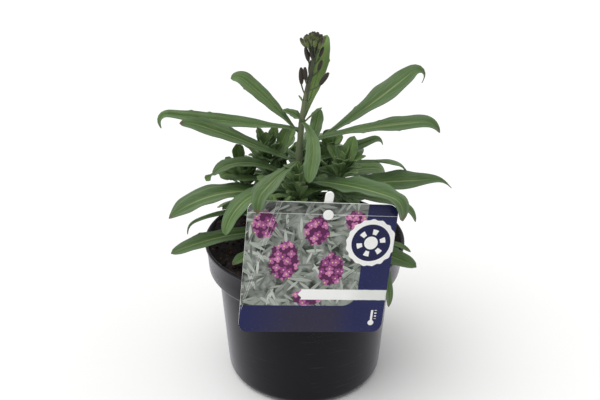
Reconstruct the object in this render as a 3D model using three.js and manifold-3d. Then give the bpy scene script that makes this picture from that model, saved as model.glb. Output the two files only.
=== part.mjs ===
// A young perennial wallflower in its black nursery pot: the pot, the soil in it, one leafy main stem
// that ends in a spike of closed buds, leafy side shoots round it, and a plastic picture card that
// hangs in front of the rim from a button on a white stake, which is pushed into the soil.
// Millimetres, +Z up. The origin is the middle of the pot's underside. +X is right, -Y is the front.
// Directions round the plant are in degrees: 0 is right, 90 is the back, 180 is left, 270 is the front.
import * as THREE from "three";
import { mergeVertices } from "three/addons/utils/BufferGeometryUtils.js";
import Module from "manifold-3d";

const wasm = await Module();
wasm.setup();

// Driving dimensions
const POT = {
  height: 98,
  rim: 65,
  lip: 0.7,
  lipDrop: 2,
  collarDrop: 19,
  collarFoot: 62.9,
  shoulder: 4,
  bodyTop: 57,
  bodyFoot: 52.5,
  footRound: 6,
  wall: 1,
  sides: 36,
  holes: 6,
  holeRadius: 4.5,
  holeSides: 8,
  holeCircle: 36,
};
const SOIL = { edge: 95, dome: 2.2, gap: 0.4, lump: 0.75, calm: 12, rings: [53, 40, 27, 13] };
const CARD = {
  width: 86,
  height: 82,
  thick: 0.7,
  corner: 6,
  punch: 2.6,
  punchDrop: 7,
  punchAside: 2.4,
  middle: [7, -64.6, 111.4],
  yaw: 9.5,
  lean: 4.9,
  roll: 6.5,
};
const STAKE = { width: 4.8, thick: 1.6, above: 13, below: 98, point: 18, lean: 5, setback: 2.1 };
const BUTTON = { shaft: 2.1, root: 0.6, head: 3, headThick: 0.7, chamfer: 0.3, play: 0.3, sides: 16 };
const STEM = { foot: 76, top: 191, footRadius: 2.9, topRadius: 1.7, sides: 8, steps: 9 };
const SPIKE = { top: 226, gap: 0.3, radius: 1.6, tipRadius: 1.3, sides: 8, steps: 6 };
const HEAD = { foot: 215, top: 223, lean: 31, buds: 18, firstTurn: 34, core: 3, coreStretch: 1.5 };
// The stalk and the bud of the lowest bud in the head, and of the topmost one.
const HEAD_STALKS = [8.4, 3.5];
const HEAD_LENGTHS = [7, 6];
const LEAF = { thick: 0.75, leastHalf: 0.7, foot: 0.26, cup: 0.2, wave: 0.13, waves: 9, clear: 0.4 };
// How late a leaf's droop and sway come, and how early its roll does.
const BEND = { late: 1.5, rollPace: 1.6 };
// What a leaf has where the list of leaves says nothing else, and the run of a hook, as shares of its length.
const PLAIN_LEAF = { droop: 0, sway: 0, roll: 0, hook: 0, curl: 0.83, belly: 0.75, taper: 0.52 };
const HOOK_RUN = 0.16;
const SHOOT = { radius: 1.7, tipRadius: 0.9, gap: 0.35, sides: 5, steps: 5, outPace: 1.7, upPace: 1.2 };
// The leaves of a side shoot from the lowest to the topmost: where along the shoot they start, how steeply
// they rise, how far they droop, and what share of the longest leaf's length they have.
const SHOOT_LEAVES = { count: 10, firstTurn: 40, along: [0.4, 0.98], lift: [30, 78], droop: [50, 8] };
const SHOOT_LENGTHS = [1, 0.45];
const SHOOT_WIDTH = { share: 0.17, more: 2.2 };
// Where along a leaf its blade is drawn, as shares of its length.
const LARGE_SECTIONS = [0, 0.28, 0.52, 0.72, 0.85, 0.93, 0.98];
const SMALL_SECTIONS = [0, 0.36, 0.72, 0.97];
// The turn in degrees from one leaf or bud of a spiral to the next.
const GOLDEN = 137.5;
// How far a hole in the soil stays from what stands in it.
const HOLE_PLAY = 0.4;

// The waves that add up to the lumps of the soil: how strong each is, how many go round the pot, how
// fast it turns outwards, in radians a millimetre, and where it starts.
const SOIL_WAVES = [
  { strength: 0.5, around: 5, outwards: 0.53, start: -1 },
  { strength: 0.5, around: 5, outwards: 0.11, start: 1 },
  { strength: 0.7, around: 9, outwards: -0.4, start: 2 },
];

// The line of the main stem and of the flower spike above it: x and y at each height.
const STEM_LINE = [
  [0, 0, 70],
  [-1.5, -1, 92],
  [-3.6, -1, 118],
  [-4, -0.5, 142],
  [-3, 0, 164],
  [-1.5, 0, 180],
  [1.1, 0, 196],
  [4.2, 0, 211],
  [5.4, 0, 222],
  [4.4, 0, 232],
];

// The large leaves of the main stem. height is where the leaf leaves the stem, turn its direction,
// lift how steeply it starts and droop how far that has fallen at the tip, all in degrees.
// sway bends it sideways, roll turns the blade over and hook curls the last part of it down, from curl
// on. belly is how far along it is widest, and taper how fast it narrows to both sides of that.
const LARGE_LEAVES = [
  // The upper ones, which spread to both sides
  { height: 168, turn: 176, lift: 50, droop: 14, length: 57, width: 10, roll: -45, hook: 60 },
  { height: 172, turn: 181, lift: 7, droop: -2, length: 94, width: 7.5, roll: -45, hook: 115, belly: 0.54 },
  { height: 149, turn: 190, lift: 29, droop: 9, length: 79, width: 11, roll: -32, hook: 20, belly: 0.72 },
  { height: 157, turn: 4, lift: 33, droop: -11, length: 99, width: 15.5,
    roll: 30, hook: 158, belly: 0.68, taper: 1.7 },
  { height: 163, turn: 351, lift: 18, droop: 14, length: 89, width: 11, roll: 20, hook: 60, belly: 0.72 },
  { height: 177, turn: 290, lift: 2, droop: 68, length: 53, width: 8.8, sway: -44 },
  { height: 150, turn: 54, lift: 33, droop: -50, length: 38, width: 9.5, belly: 0.7 },
  { height: 176, turn: 39, lift: 63, droop: -20, length: 55, width: 9.5, roll: 40, hook: 20 },
  // Small ones under the flower spike
  { height: 178, turn: 176, lift: 40, droop: 36, length: 13.5, width: 6.5, roll: -20, belly: 0.4 },
  { height: 175, turn: 352, lift: 48, droop: 14, length: 17, width: 4 },
  { height: 188, turn: 192, lift: 64, droop: 14, length: 7, width: 3 },
  { height: 187, turn: 352, lift: 48, droop: 0, length: 8, width: 2.6 },
  // The middle ones
  { height: 151, turn: 254, lift: 13, droop: 14, length: 86, width: 11.5, hook: 84 },
  { height: 131, turn: 188, lift: 52, droop: 96, length: 63, width: 11, roll: -15, belly: 0.8 },
  { height: 142, turn: 9, lift: 14, droop: 38, length: 75, width: 10, hook: 45, belly: 0.86, taper: 0.9 },
  { height: 148, turn: 14, lift: 12, droop: -8, length: 59, width: 6.5, roll: 30, hook: 90, belly: 0.68 },
  { height: 133.5, turn: 0, lift: 3, droop: -1, length: 99, width: 15,
    roll: 18, hook: 50, belly: 0.58, taper: 1.2 },
  { height: 138, turn: 316, lift: 15, droop: 18, length: 92, width: 18, hook: 86, curl: 0.8, belly: 0.62 },
  { height: 134, turn: 329, lift: 18, droop: 66, length: 48, width: 11.5, taper: 0.8 },
  { height: 129, turn: 22, lift: 22, droop: 46, length: 67, width: 13, roll: 24, hook: 60 },
  { height: 128, turn: 328, lift: 17, droop: 27, length: 86, width: 9, hook: 60 },
  // The lower ones, some of which hang over the rim
  { height: 127, turn: 218, lift: 36, droop: 118, length: 69, width: 11, roll: -20 },
  { height: 125, turn: 196, lift: 22, droop: 60, length: 87, width: 18,
    roll: -12, belly: 0.66, taper: 0.7 },
  { height: 110, turn: 187, lift: 20, droop: 55, length: 80, width: 3.2, roll: -30, hook: 50, belly: 0.6 },
  { height: 102, turn: 202, lift: 12, droop: 28, length: 87, width: 12, roll: -15, belly: 0.68 },
  { height: 99, turn: 325, lift: 10, droop: 18, length: 84, width: 13, roll: 10 },
  { height: 104, turn: 313.5, lift: 32, droop: 128, length: 101, width: 8 },
  { height: 100, turn: 343, lift: 8, droop: 20, length: 73, width: 6, hook: 20 },
  { height: 99, turn: 227, lift: 10, droop: 16, length: 61, width: 9 },
  // The back
  { height: 156, turn: 76, lift: 4, droop: 40, length: 64, width: 11 },
  { height: 152, turn: 122, lift: 4, droop: 50, length: 62, width: 11, hook: 30 },
  { height: 143, turn: 100, lift: 2, droop: 50, length: 76, width: 12 },
  { height: 136, turn: 58, lift: 12, droop: 46, length: 88, width: 12.5, hook: 20 },
  { height: 127, turn: 132, lift: 20, droop: 66, length: 90, width: 14 },
  { height: 117, turn: 76, lift: 26, droop: 84, length: 92, width: 13 },
  { height: 112, turn: 110, lift: 20, droop: 62, length: 92, width: 12 },
  { height: 106, turn: 36, lift: 24, droop: 80, length: 92, width: 12 },
  { height: 102, turn: 146, lift: 16, droop: 46, length: 72, width: 11 },
];

// The side shoots: the height at which each leaves the main stem, its direction, how far out its tip
// stands, how far up it goes, and the length of its longest leaf.
const SIDE_SHOOTS = [
  { height: 117, turn: 164, reach: 22, rise: 38, leaf: 32 },
  { height: 108, turn: 173, reach: 38, rise: 32, leaf: 31 },
  { height: 113, turn: 43, reach: 25, rise: 40, leaf: 31 },
  { height: 119, turn: 343, reach: 29, rise: 35, leaf: 31 },
  { height: 110, turn: 354, reach: 35, rise: 16, leaf: 26 },
  { height: 115, turn: 268, reach: 19, rise: 32, leaf: 28 },
  { height: 109, turn: 243, reach: 36, rise: 22, leaf: 28 },
  { height: 110, turn: 209, reach: 35, rise: 17, leaf: 26 },
  { height: 104, turn: 94, reach: 27, rise: 32, leaf: 30 },
  { height: 121, turn: 117, reach: 27, rise: 26, leaf: 30 },
];

// How a side shoot's leaf may be bent to stay clear of the other pieces: turned and lifted by so many
// degrees, at its full length first and then at smaller shares of it.
const BEND_SHARES = [1, 0.8, 0.62];
const BEND_TURNS = [
  [0, 0],
  [12, 0],
  [-12, 0],
  [0, 12],
  [0, -12],
  [14, 14],
  [-14, 14],
  [26, 4],
  [-26, 4],
  [40, 12],
  [-40, 12],
  [0, 26],
];

// The lower buds of the spike, each on its own stalk: the height of the stalk's root, its direction,
// its lean from upright and its length, by how much more upright the bud stands, and the bud's length.
const LOWER_BUDS = [
  { height: 192.8, turn: 186, lean: 19, stalk: 8.2, rise: 18, length: 10.5 },
  { height: 199, turn: 226, lean: 24, stalk: 4.4, rise: 18, length: 8.8 },
  { height: 196, turn: 349, lean: 60, stalk: 8.6, rise: 26, length: 10 },
  { height: 204.5, turn: 346, lean: 47, stalk: 6.6, rise: 28, length: 7.2 },
  { height: 209.5, turn: 187, lean: 20, stalk: 5.4, rise: 7, length: 8.8 },
  { height: 211, turn: 346, lean: 35, stalk: 7.4, rise: 15, length: 7.2 },
  { height: 213, turn: 255, lean: 26, stalk: 3.8, rise: 10, length: 5.5 },
  { height: 200, turn: 70, lean: 28, stalk: 6, rise: 14, length: 9 },
  { height: 207, turn: 60, lean: 30, stalk: 6, rise: 12, length: 8 },
];

// The two kinds of bud: the sides and the radius of the stalk, and the bud's radius at places along it,
// both as shares of its length. The lower buds are blunt, and those of the head swell towards the top.
const STALK_DEPTH = 0.4;
const LOWER_BUD = {
  sides: 6,
  stalk: 0.6,
  shape: [
    [0.07, 0.11],
    [0.26, 0.158],
    [0.86, 0.16],
    [1, 0.11],
  ],
};
const HEAD_BUD = {
  sides: 5,
  stalk: 0.55,
  shape: [
    [0.16, 0.15],
    [0.66, 0.22],
    [1, 0.09],
  ],
};

const radians = (degrees) => (degrees * Math.PI) / 180;
const mix = (a, b, t) => a + (b - a) * t;
const ease = (t) => {
  const s = Math.min(Math.max(t, 0), 1);
  return s * s * (3 - 2 * s);
};
const compass = (turn) => new THREE.Vector3(Math.cos(radians(turn)), Math.sin(radians(turn)), 0);

// Corners closer together than this are one corner.
const SAME_PLACE = 1e-4;

// A closed geometry as a solid that can be joined and cut.
function solidOf(geometry) {
  const flat = geometry.index ? geometry.toNonIndexed() : geometry;
  const bare = new THREE.BufferGeometry().setAttribute("position", flat.getAttribute("position"));
  const merged = mergeVertices(bare, SAME_PLACE);
  const vertProperties = merged.attributes.position.array;
  return new wasm.Manifold(
    new wasm.Mesh({ numProp: 3, vertProperties, triVerts: new Uint32Array(merged.index.array) }),
  );
}

// Such a solid as a geometry again.
function geometryOf(made) {
  const mesh = made.getMesh();
  const position = new Float32Array(mesh.numVert * 3);
  for (let i = 0; i < mesh.numVert; i++) {
    const start = i * mesh.numProp;
    position.set(mesh.vertProperties.subarray(start, start + 3), i * 3);
  }
  return new THREE.BufferGeometry()
    .setAttribute("position", new THREE.BufferAttribute(position, 3))
    .setIndex(new THREE.BufferAttribute(new Uint32Array(mesh.triVerts), 1));
}

// Joins rings of points, all of one length and counter-clockwise seen from the end of the row, into a
// closed solid with flat ends. turned says, for each side of a ring, which diagonal splits its faces.
function loft(rings, turned = () => false) {
  const count = rings[0].length;
  const points = rings.flat();
  const faces = [];
  for (let i = 0; i + 1 < rings.length; i++) {
    for (let j = 0; j < count; j++) {
      const a = i * count + j;
      const b = i * count + ((j + 1) % count);
      const c = b + count;
      const d = a + count;
      if (turned(j)) faces.push(a, b, d, b, c, d);
      else faces.push(a, b, c, a, c, d);
    }
  }
  const last = points.length - count;
  for (let j = 1; j + 1 < count; j++) {
    faces.push(0, j + 1, j);
    faces.push(last, last + j, last + j + 1);
  }
  const geometry = new THREE.BufferGeometry().setFromPoints(points);
  geometry.setIndex(faces);
  return solidOf(geometry);
}

// A round stem along a list of points, with a radius at each.
function stemAlong(points, radii, sides) {
  const rings = points.map((point, i) => {
    const ahead = points[Math.min(i + 1, points.length - 1)];
    const behind = points[Math.max(i - 1, 0)];
    const along = ahead.clone().sub(behind).normalize();
    const out = new THREE.Vector3(1, 0, 0).projectOnPlane(along).normalize();
    const over = along.clone().cross(out);
    return Array.from({ length: sides }, (_, k) => {
      const angle = (2 * Math.PI * k) / sides;
      return point
        .clone()
        .addScaledVector(out, radii[i] * Math.cos(angle))
        .addScaledVector(over, radii[i] * Math.sin(angle));
    });
  });
  return loft(rings);
}

// The middle of the main stem, or of the spike above it, at a height.
const stemCurve = new THREE.CatmullRomCurve3(STEM_LINE.map((p) => new THREE.Vector3(...p)));
const STEM_SAMPLES = 400;
const stemSamples = stemCurve.getPoints(STEM_SAMPLES);
function stemAt(height) {
  const next = stemSamples.findIndex((p) => p.z >= height);
  const above = stemSamples[next];
  const below = stemSamples[next - 1];
  return below.clone().lerp(above, (height - below.z) / (above.z - below.z));
}
const stemRadiusAt = (height) =>
  mix(STEM.footRadius, STEM.topRadius, (height - STEM.foot) / (STEM.top - STEM.foot));

// Half the width of a leaf at a fraction of its length, as a share of half its greatest width: a
// narrow foot, widest at its belly, and a blunt tip.
function outline(t, { belly, taper }) {
  const bent = t ** (Math.log(0.5) / Math.log(belly));
  return LEAF.foot * (1 - t) ** 1.5 + Math.sin(Math.PI * bent) ** taper;
}

// The midrib of a leaf, as a list of places from root to tip with the blade's own directions there.
const MIDRIB_STEPS = 100;
function midrib(root, leaf) {
  const places = [];
  const point = root.clone();
  for (let i = 0; i <= MIDRIB_STEPS; i++) {
    const t = i / MIDRIB_STEPS;
    const hook = leaf.hook * ease((t - leaf.curl) / HOOK_RUN);
    const pitch = radians(leaf.lift - leaf.droop * t ** BEND.late - hook);
    const heading = leaf.turn + leaf.sway * t ** BEND.late;
    const along = compass(heading).multiplyScalar(Math.cos(pitch));
    along.z = Math.sin(pitch);
    const side = compass(heading + 90).applyAxisAngle(along, radians(leaf.roll * ease(t * BEND.rollPace)));
    places.push({ t, point: point.clone(), along, side, up: along.clone().cross(side) });
    point.addScaledVector(along, leaf.length / MIDRIB_STEPS);
  }
  return places;
}

// One leaf: a thin blade, folded up a little along its midrib, with waved edges. Both faces are split
// along the same diagonals. fat thickens and widens it, to keep other pieces clear.
function leafSolid(root, given, shares, fat = 0) {
  const leaf = { ...PLAIN_LEAF, ...given };
  const places = midrib(root, leaf);
  const half = LEAF.thick / 2 + fat;
  const sections = shares.map((share) => {
    const { t, point, side, up } = places[Math.round(share * MIDRIB_STEPS)];
    const reach = Math.max((leaf.width / 2) * outline(t, leaf), LEAF.leastHalf) + fat;
    const edge = (across) => {
      const ripple = LEAF.wave * ease(t * 3) * Math.sin(LEAF.waves * t + 1.3 * across + leaf.turn);
      return point
        .clone()
        .addScaledVector(side, reach * across)
        .addScaledVector(up, reach * (LEAF.cup + ripple));
    };
    const left = edge(1);
    const right = edge(-1);
    const top = [left, point, right].map((p) => p.clone().addScaledVector(up, half));
    const under = [right, point, left].map((p) => p.clone().addScaledVector(up, -half));
    return [...top, ...under];
  });
  return loft(sections, (j) => j === 3 || j === 4);
}

// The pot's wall in profile, from the edge of its floor up to the foot of its collar, set in from the
// outside by a distance.
const collarFootHeight = POT.height - POT.collarDrop;
function wallProfile(inset) {
  const round = POT.footRound - inset;
  const foot = [0, 45, 90].map((angle) => [
    POT.bodyFoot - POT.footRound + round * Math.sin(radians(angle)),
    POT.footRound - round * Math.cos(radians(angle)),
  ]);
  return [
    ...foot,
    [POT.bodyTop - inset, collarFootHeight - POT.shoulder + inset / 2],
    [POT.collarFoot - inset, collarFootHeight + inset / 2],
  ];
}

// The pot: a thin shell with a collar below its rim, a shoulder down to the tapered body, a rounded
// foot and drain holes in its flat floor.
const mouth = POT.rim - POT.lip;
function potSolid() {
  const { height, rim, wall } = POT;
  const profile = [
    [0, 0],
    ...wallProfile(0),
    [mouth, height - POT.lipDrop],
    [rim, height - POT.lipDrop],
    [rim, height],
    [mouth - wall, height],
    ...wallProfile(wall).reverse(),
    [0, wall],
  ].map(([r, z]) => new THREE.Vector2(r, z));
  let pot = solidOf(new THREE.LatheGeometry(profile, POT.sides).rotateX(Math.PI / 2));
  for (let i = 0; i < POT.holes; i++) {
    const drill = new THREE.CylinderGeometry(POT.holeRadius, POT.holeRadius, 4 * wall, POT.holeSides);
    const place = compass((360 * i) / POT.holes).multiplyScalar(POT.holeCircle);
    pot = pot.subtract(solidOf(drill.rotateX(Math.PI / 2).translate(place.x, place.y, wall / 2)));
  }
  return pot;
}

// The height of the soil at a radius and an angle: a low dome, lumpy away from the middle.
function soilTop(radius, angle) {
  const share = radius / POT.rim;
  const waves = SOIL_WAVES.map(
    ({ strength, around, outwards, start }) =>
      strength * Math.sin(around * angle + outwards * radius + start),
  );
  const lumps = waves.reduce((sum, wave) => sum + wave) * Math.min(radius / SOIL.calm, 1);
  return SOIL.edge + SOIL.dome * (1 - share * share) + SOIL.lump * lumps;
}

// The soil: it fills the pot to just below the rim, with a gap to the wall.
function soilSolid() {
  const inset = POT.wall + SOIL.gap;
  const edge = mix(POT.collarFoot, mouth, (SOIL.edge - collarFootHeight) / POT.collarDrop) - inset;
  const ring = (radius, heightAt) =>
    Array.from({ length: POT.sides }, (_, k) => {
      const angle = (2 * Math.PI * k) / POT.sides;
      return new THREE.Vector3(radius * Math.cos(angle), radius * Math.sin(angle), heightAt(angle));
    });
  const under = wallProfile(inset).map(([radius, height]) => ring(radius, () => height));
  const top = [edge, ...SOIL.rings].map((radius) => ring(radius, (angle) => soilTop(radius, angle)));
  return loft([...under, ...top]);
}

// The card hangs in a frame of its own: x along its width, y up it, z out of its printed face.
const cardFrame = new THREE.Matrix4()
  .makeRotationZ(radians(CARD.yaw))
  .multiply(new THREE.Matrix4().makeRotationX(radians(90 - CARD.lean)))
  .multiply(new THREE.Matrix4().makeRotationZ(radians(-CARD.roll)))
  .setPosition(...CARD.middle);

// A rounded rectangle with a punched hole near its upper edge, a little right of its middle.
const punchHeight = CARD.height / 2 - CARD.punchDrop;
function cardSheet() {
  const { width, height, corner } = CARD;
  const x = width / 2;
  const y = height / 2;
  const shape = new THREE.Shape();
  shape.moveTo(corner - x, -y).lineTo(x - corner, -y);
  shape.absarc(x - corner, corner - y, corner, -Math.PI / 2, 0, false);
  shape.lineTo(x, y - corner).absarc(x - corner, y - corner, corner, 0, Math.PI / 2, false);
  shape.lineTo(corner - x, y).absarc(corner - x, y - corner, corner, Math.PI / 2, Math.PI, false);
  shape.lineTo(-x, corner - y).absarc(corner - x, corner - y, corner, Math.PI, 1.5 * Math.PI, false);
  const { punch, punchAside } = CARD;
  shape.holes.push(new THREE.Path().absarc(punchAside, punchHeight, punch, 0, 2 * Math.PI, true));
  const sheet = new THREE.ExtrudeGeometry(shape, {
    depth: CARD.thick,
    bevelEnabled: false,
    curveSegments: 5,
  });
  return sheet.translate(0, 0, -CARD.thick / 2);
}

// The stake stands square to the card behind it, leaning a little towards the front, with its round top
// above the card and its point deep in the soil. A button on a short shaft goes through the card's hole.
const stakeFrame = new THREE.Matrix4()
  .makeRotationZ(radians(CARD.yaw))
  .multiply(new THREE.Matrix4().makeRotationX(radians(90 + STAKE.lean)))
  .multiply(new THREE.Matrix4().makeRotationZ(radians(-CARD.roll)))
  .setPosition(new THREE.Vector3(CARD.punchAside, punchHeight, 0).applyMatrix4(cardFrame));
function stakeSolid(fat) {
  const half = STAKE.width / 2 + fat;
  const shape = new THREE.Shape();
  shape.moveTo(0, -STAKE.below - 2 * fat).lineTo(half, STAKE.point - STAKE.below);
  shape.lineTo(half, STAKE.above - half).absarc(0, STAKE.above - half, half, 0, Math.PI, false);
  shape.lineTo(-half, STAKE.point - STAKE.below);
  const bar = new THREE.ExtrudeGeometry(shape, {
    depth: STAKE.thick + 2 * fat,
    bevelEnabled: false,
    curveSegments: 5,
  });
  bar.translate(0, 0, -STAKE.setback - STAKE.thick - fat);
  return solidOf(bar).transform(stakeFrame.elements);
}
function buttonSolid() {
  const back = -STAKE.setback - STAKE.thick / 2 - BUTTON.root;
  const seat = CARD.thick / 2 + BUTTON.play;
  const front = seat + BUTTON.headThick;
  const profile = [
    [0, back],
    [BUTTON.shaft, back],
    [BUTTON.shaft, seat],
    [BUTTON.head, seat],
    [BUTTON.head, front - BUTTON.chamfer],
    [BUTTON.head - BUTTON.chamfer, front],
    [0, front],
  ].map(([r, z]) => new THREE.Vector2(r, z));
  const turned = new THREE.LatheGeometry(profile, BUTTON.sides).rotateX(Math.PI / 2);
  return solidOf(turned.translate(CARD.punchAside, punchHeight, 0)).transform(cardFrame.elements);
}

// One closed bud on its stalk, which starts inside the stem that it grows from.
function budSolid(root, bud, kind) {
  const towards = (lean) =>
    compass(bud.turn).multiplyScalar(Math.sin(radians(lean))).setZ(Math.cos(radians(lean)));
  const foot = root.clone().addScaledVector(towards(bud.lean), -STALK_DEPTH);
  const grip = root.clone().addScaledVector(towards(bud.lean), bud.stalk);
  const axis = towards(bud.lean - (bud.rise ?? 0));
  const rings = kind.shape.map(([far]) => grip.clone().addScaledVector(axis, bud.length * far));
  const radii = kind.shape.map(([, wide]) => bud.length * wide);
  return stemAlong([foot, grip, ...rings], [kind.stalk, kind.stalk, ...radii], kind.sides);
}

// The flower spike: its stalk, the lower buds one by one, and a close head of small buds on a core.
function spikeSolid() {
  const from = STEM.top + SPIKE.gap;
  const { top, steps } = SPIKE;
  const heights = Array.from({ length: steps + 1 }, (_, i) => mix(from, top, i / steps));
  const radii = heights.map((_, i) => mix(SPIKE.radius, SPIKE.tipRadius, i / steps));
  const pieces = [stemAlong(heights.map(stemAt), radii, SPIKE.sides)];
  const core = new THREE.SphereGeometry(HEAD.core, 8, 6).rotateX(Math.PI / 2);
  core.scale(1, 1, HEAD.coreStretch);
  const middle = stemAt(top - HEAD.core);
  pieces.push(solidOf(core.translate(middle.x, middle.y, middle.z)));
  for (const bud of LOWER_BUDS) pieces.push(budSolid(stemAt(bud.height), bud, LOWER_BUD));
  for (let k = 0; k < HEAD.buds; k++) {
    const t = k / (HEAD.buds - 1);
    const turn = HEAD.firstTurn + k * GOLDEN;
    const lean = HEAD.lean * Math.sqrt(1 - t);
    const bud = { turn, lean, stalk: mix(...HEAD_STALKS, t), length: mix(...HEAD_LENGTHS, t) };
    pieces.push(budSolid(stemAt(mix(HEAD.foot, HEAD.top, t)), bud, HEAD_BUD));
  }
  return wasm.Manifold.union(pieces);
}

// The main stem with its large leaves.
function mainStemPieces(fat) {
  const { foot, top, steps, sides } = STEM;
  const heights = Array.from({ length: steps + 1 }, (_, i) => mix(foot, top, i / steps));
  const radii = heights.map((z) => stemRadiusAt(z) + fat);
  const leaves = LARGE_LEAVES.map((leaf) => leafSolid(stemAt(leaf.height), leaf, LARGE_SECTIONS, fat));
  return [stemAlong(heights.map(stemAt), radii, sides), ...leaves];
}

// The line of a side shoot: out from the main stem's surface and then up.
function shootLine(shoot) {
  const foot = stemAt(shoot.height);
  const start = stemRadiusAt(shoot.height) + SHOOT.gap + SHOOT.radius;
  return Array.from({ length: SHOOT.steps + 1 }, (_, i) => {
    const t = i / SHOOT.steps;
    const out = mix(start, shoot.reach, 1 - (1 - t) ** SHOOT.outPace);
    return foot
      .clone()
      .addScaledVector(compass(shoot.turn), out)
      .setZ(shoot.height + shoot.rise * t ** SHOOT.upPace);
  });
}

// The leaves of a side shoot, in a spiral: the lower ones long and spread, the top ones short and
// upright. Each comes with the ways in which it may be bent, in the order in which they are tried.
function shootLeaves(shoot) {
  const line = new THREE.CatmullRomCurve3(shootLine(shoot));
  const { count, firstTurn, along } = SHOOT_LEAVES;
  return Array.from({ length: count }, (_, k) => {
    const t = k / (count - 1);
    const turn = shoot.turn + firstTurn + k * GOLDEN;
    const lift = mix(...SHOOT_LEAVES.lift, t);
    const droop = mix(...SHOOT_LEAVES.droop, t);
    const length = shoot.leaf * mix(...SHOOT_LENGTHS, t ** 1.3);
    const straight = { turn, lift, droop, length, width: SHOOT_WIDTH.share * length + SHOOT_WIDTH.more };
    const root = line.getPoint(mix(...along, t));
    return BEND_SHARES.flatMap((share) =>
      BEND_TURNS.map(([more, higher]) => ({
        root,
        leaf: { ...straight, turn: turn + more, lift: lift + higher, length: length * share },
      })),
    );
  });
}

// What each piece leaves clear round itself, for the pieces that come after it.
const kept = [];
function keepClear(owner, solid) {
  kept.push({ owner, solid, box: solid.boundingBox() });
}
function isClear(owner, solid) {
  const { min, max } = solid.boundingBox();
  return !kept.some(({ owner: other, solid: around, box }) => {
    if (other === owner) return false;
    if ([0, 1, 2].some((i) => box.min[i] > max[i] || box.max[i] < min[i])) return false;
    return solid.intersect(around).volume() > 0;
  });
}

// A side shoot's stem, made fatter where it only keeps other pieces clear.
function shootStem(shoot, fat = 0) {
  const line = shootLine(shoot);
  const radii = line.map((_, i) => mix(SHOOT.radius, SHOOT.tipRadius, i / SHOOT.steps) + fat);
  return stemAlong(line, radii, SHOOT.sides);
}

// A side shoot: its stem, and each leaf in the first way that stays clear of all other pieces. A leaf
// that fits in no way isn't grown.
function shootSolid(name, shoot) {
  const pieces = [shootStem(shoot)];
  for (const ways of shootLeaves(shoot)) {
    const way = ways.find(({ root, leaf }) => isClear(name, leafSolid(root, leaf, SMALL_SECTIONS)));
    if (!way) continue;
    pieces.push(leafSolid(way.root, way.leaf, SMALL_SECTIONS));
    keepClear(name, leafSolid(way.root, way.leaf, SMALL_SECTIONS, LEAF.clear));
  }
  return wasm.Manifold.union(pieces);
}

const finish = {
  pot: { color: 0x2b2b2e, roughness: 0.42, metalness: 0 },
  soil: { color: 0x17120e, roughness: 0.95, metalness: 0 },
  card: { color: 0x23285a, roughness: 0.25, metalness: 0 },
  stake: { color: 0xf0f0ee, roughness: 0.4, metalness: 0 },
  leaf: { color: 0x4f6c45, roughness: 0.6, metalness: 0 },
  bud: { color: 0x3a3038, roughness: 0.6, metalness: 0 },
};
const plant = new THREE.Group();
function addPiece(name, solid, look) {
  const mesh = new THREE.Mesh(geometryOf(solid), new THREE.MeshStandardMaterial(look));
  mesh.name = name;
  plant.add(mesh);
}

const pot = potSolid();
const card = solidOf(cardSheet()).transform(cardFrame.elements);
const stake = stakeSolid(0).add(buttonSolid());
const stemHole = mainStemPieces(HOLE_PLAY)[0];
const soil = soilSolid().subtract(stakeSolid(HOLE_PLAY)).subtract(stemHole);
const stem = wasm.Manifold.union(mainStemPieces(0));
const spike = spikeSolid();

keepClear("pot", pot);
keepClear("potting_soil", soil);
keepClear("picture_card", card);
keepClear("card_stake", stake);
for (const piece of mainStemPieces(LEAF.clear)) keepClear("main_stem", piece);
keepClear("flower_spike", spike);

addPiece("pot", pot, finish.pot);
addPiece("potting_soil", soil, finish.soil);
addPiece("picture_card", card, finish.card);
addPiece("card_stake", stake, finish.stake);
addPiece("main_stem", stem, finish.leaf);
addPiece("flower_spike", spike, finish.bud);
const shoots = SIDE_SHOOTS.map((shoot, i) => ({ name: `side_shoot_${i + 1}`, shoot }));
for (const { name, shoot } of shoots) keepClear(name, shootStem(shoot, LEAF.clear));
for (const { name, shoot } of shoots) addPiece(name, shootSolid(name, shoot), finish.leaf);

export default plant;
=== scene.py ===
"""A young wallflower in its black nursery pot: the looks of every piece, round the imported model.

The file is laid out as an add-on and is run as a script. Meshes are in metres, and the tables, lines and
profiles that they are made from are in millimetres. Directions round the plant are degrees, where 0 is
right, 90 is the back, 180 is left and 270 is the front.
"""

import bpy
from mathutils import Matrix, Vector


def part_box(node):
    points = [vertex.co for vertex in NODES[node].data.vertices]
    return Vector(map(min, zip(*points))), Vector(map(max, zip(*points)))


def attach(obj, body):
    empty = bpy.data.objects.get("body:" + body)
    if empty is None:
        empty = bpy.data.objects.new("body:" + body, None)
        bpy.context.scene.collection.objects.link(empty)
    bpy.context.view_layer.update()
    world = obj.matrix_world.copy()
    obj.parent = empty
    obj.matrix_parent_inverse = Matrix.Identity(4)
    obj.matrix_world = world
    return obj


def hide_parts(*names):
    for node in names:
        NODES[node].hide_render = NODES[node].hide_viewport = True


bl_info = {
    "name": "Potted wallflower",
    "version": (1, 0, 0),
    "blender": (4, 5, 0),
    "location": "3D View > Sidebar > Wallflower",
    "description": "Makes a young wallflower in a nursery pot, with the picture card in front of it",
    "category": "Add Mesh",
}

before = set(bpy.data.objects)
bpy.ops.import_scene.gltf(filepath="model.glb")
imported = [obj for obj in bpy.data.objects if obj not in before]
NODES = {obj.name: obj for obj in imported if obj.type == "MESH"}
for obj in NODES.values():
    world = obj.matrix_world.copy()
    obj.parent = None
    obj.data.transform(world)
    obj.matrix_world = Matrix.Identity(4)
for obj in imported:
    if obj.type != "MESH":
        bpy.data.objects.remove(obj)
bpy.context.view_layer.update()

import random
from functools import partialmethod
from math import atan2, copysign, cos, exp, hypot, log, pi, radians, sin, sqrt
from typing import NamedTuple

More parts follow.
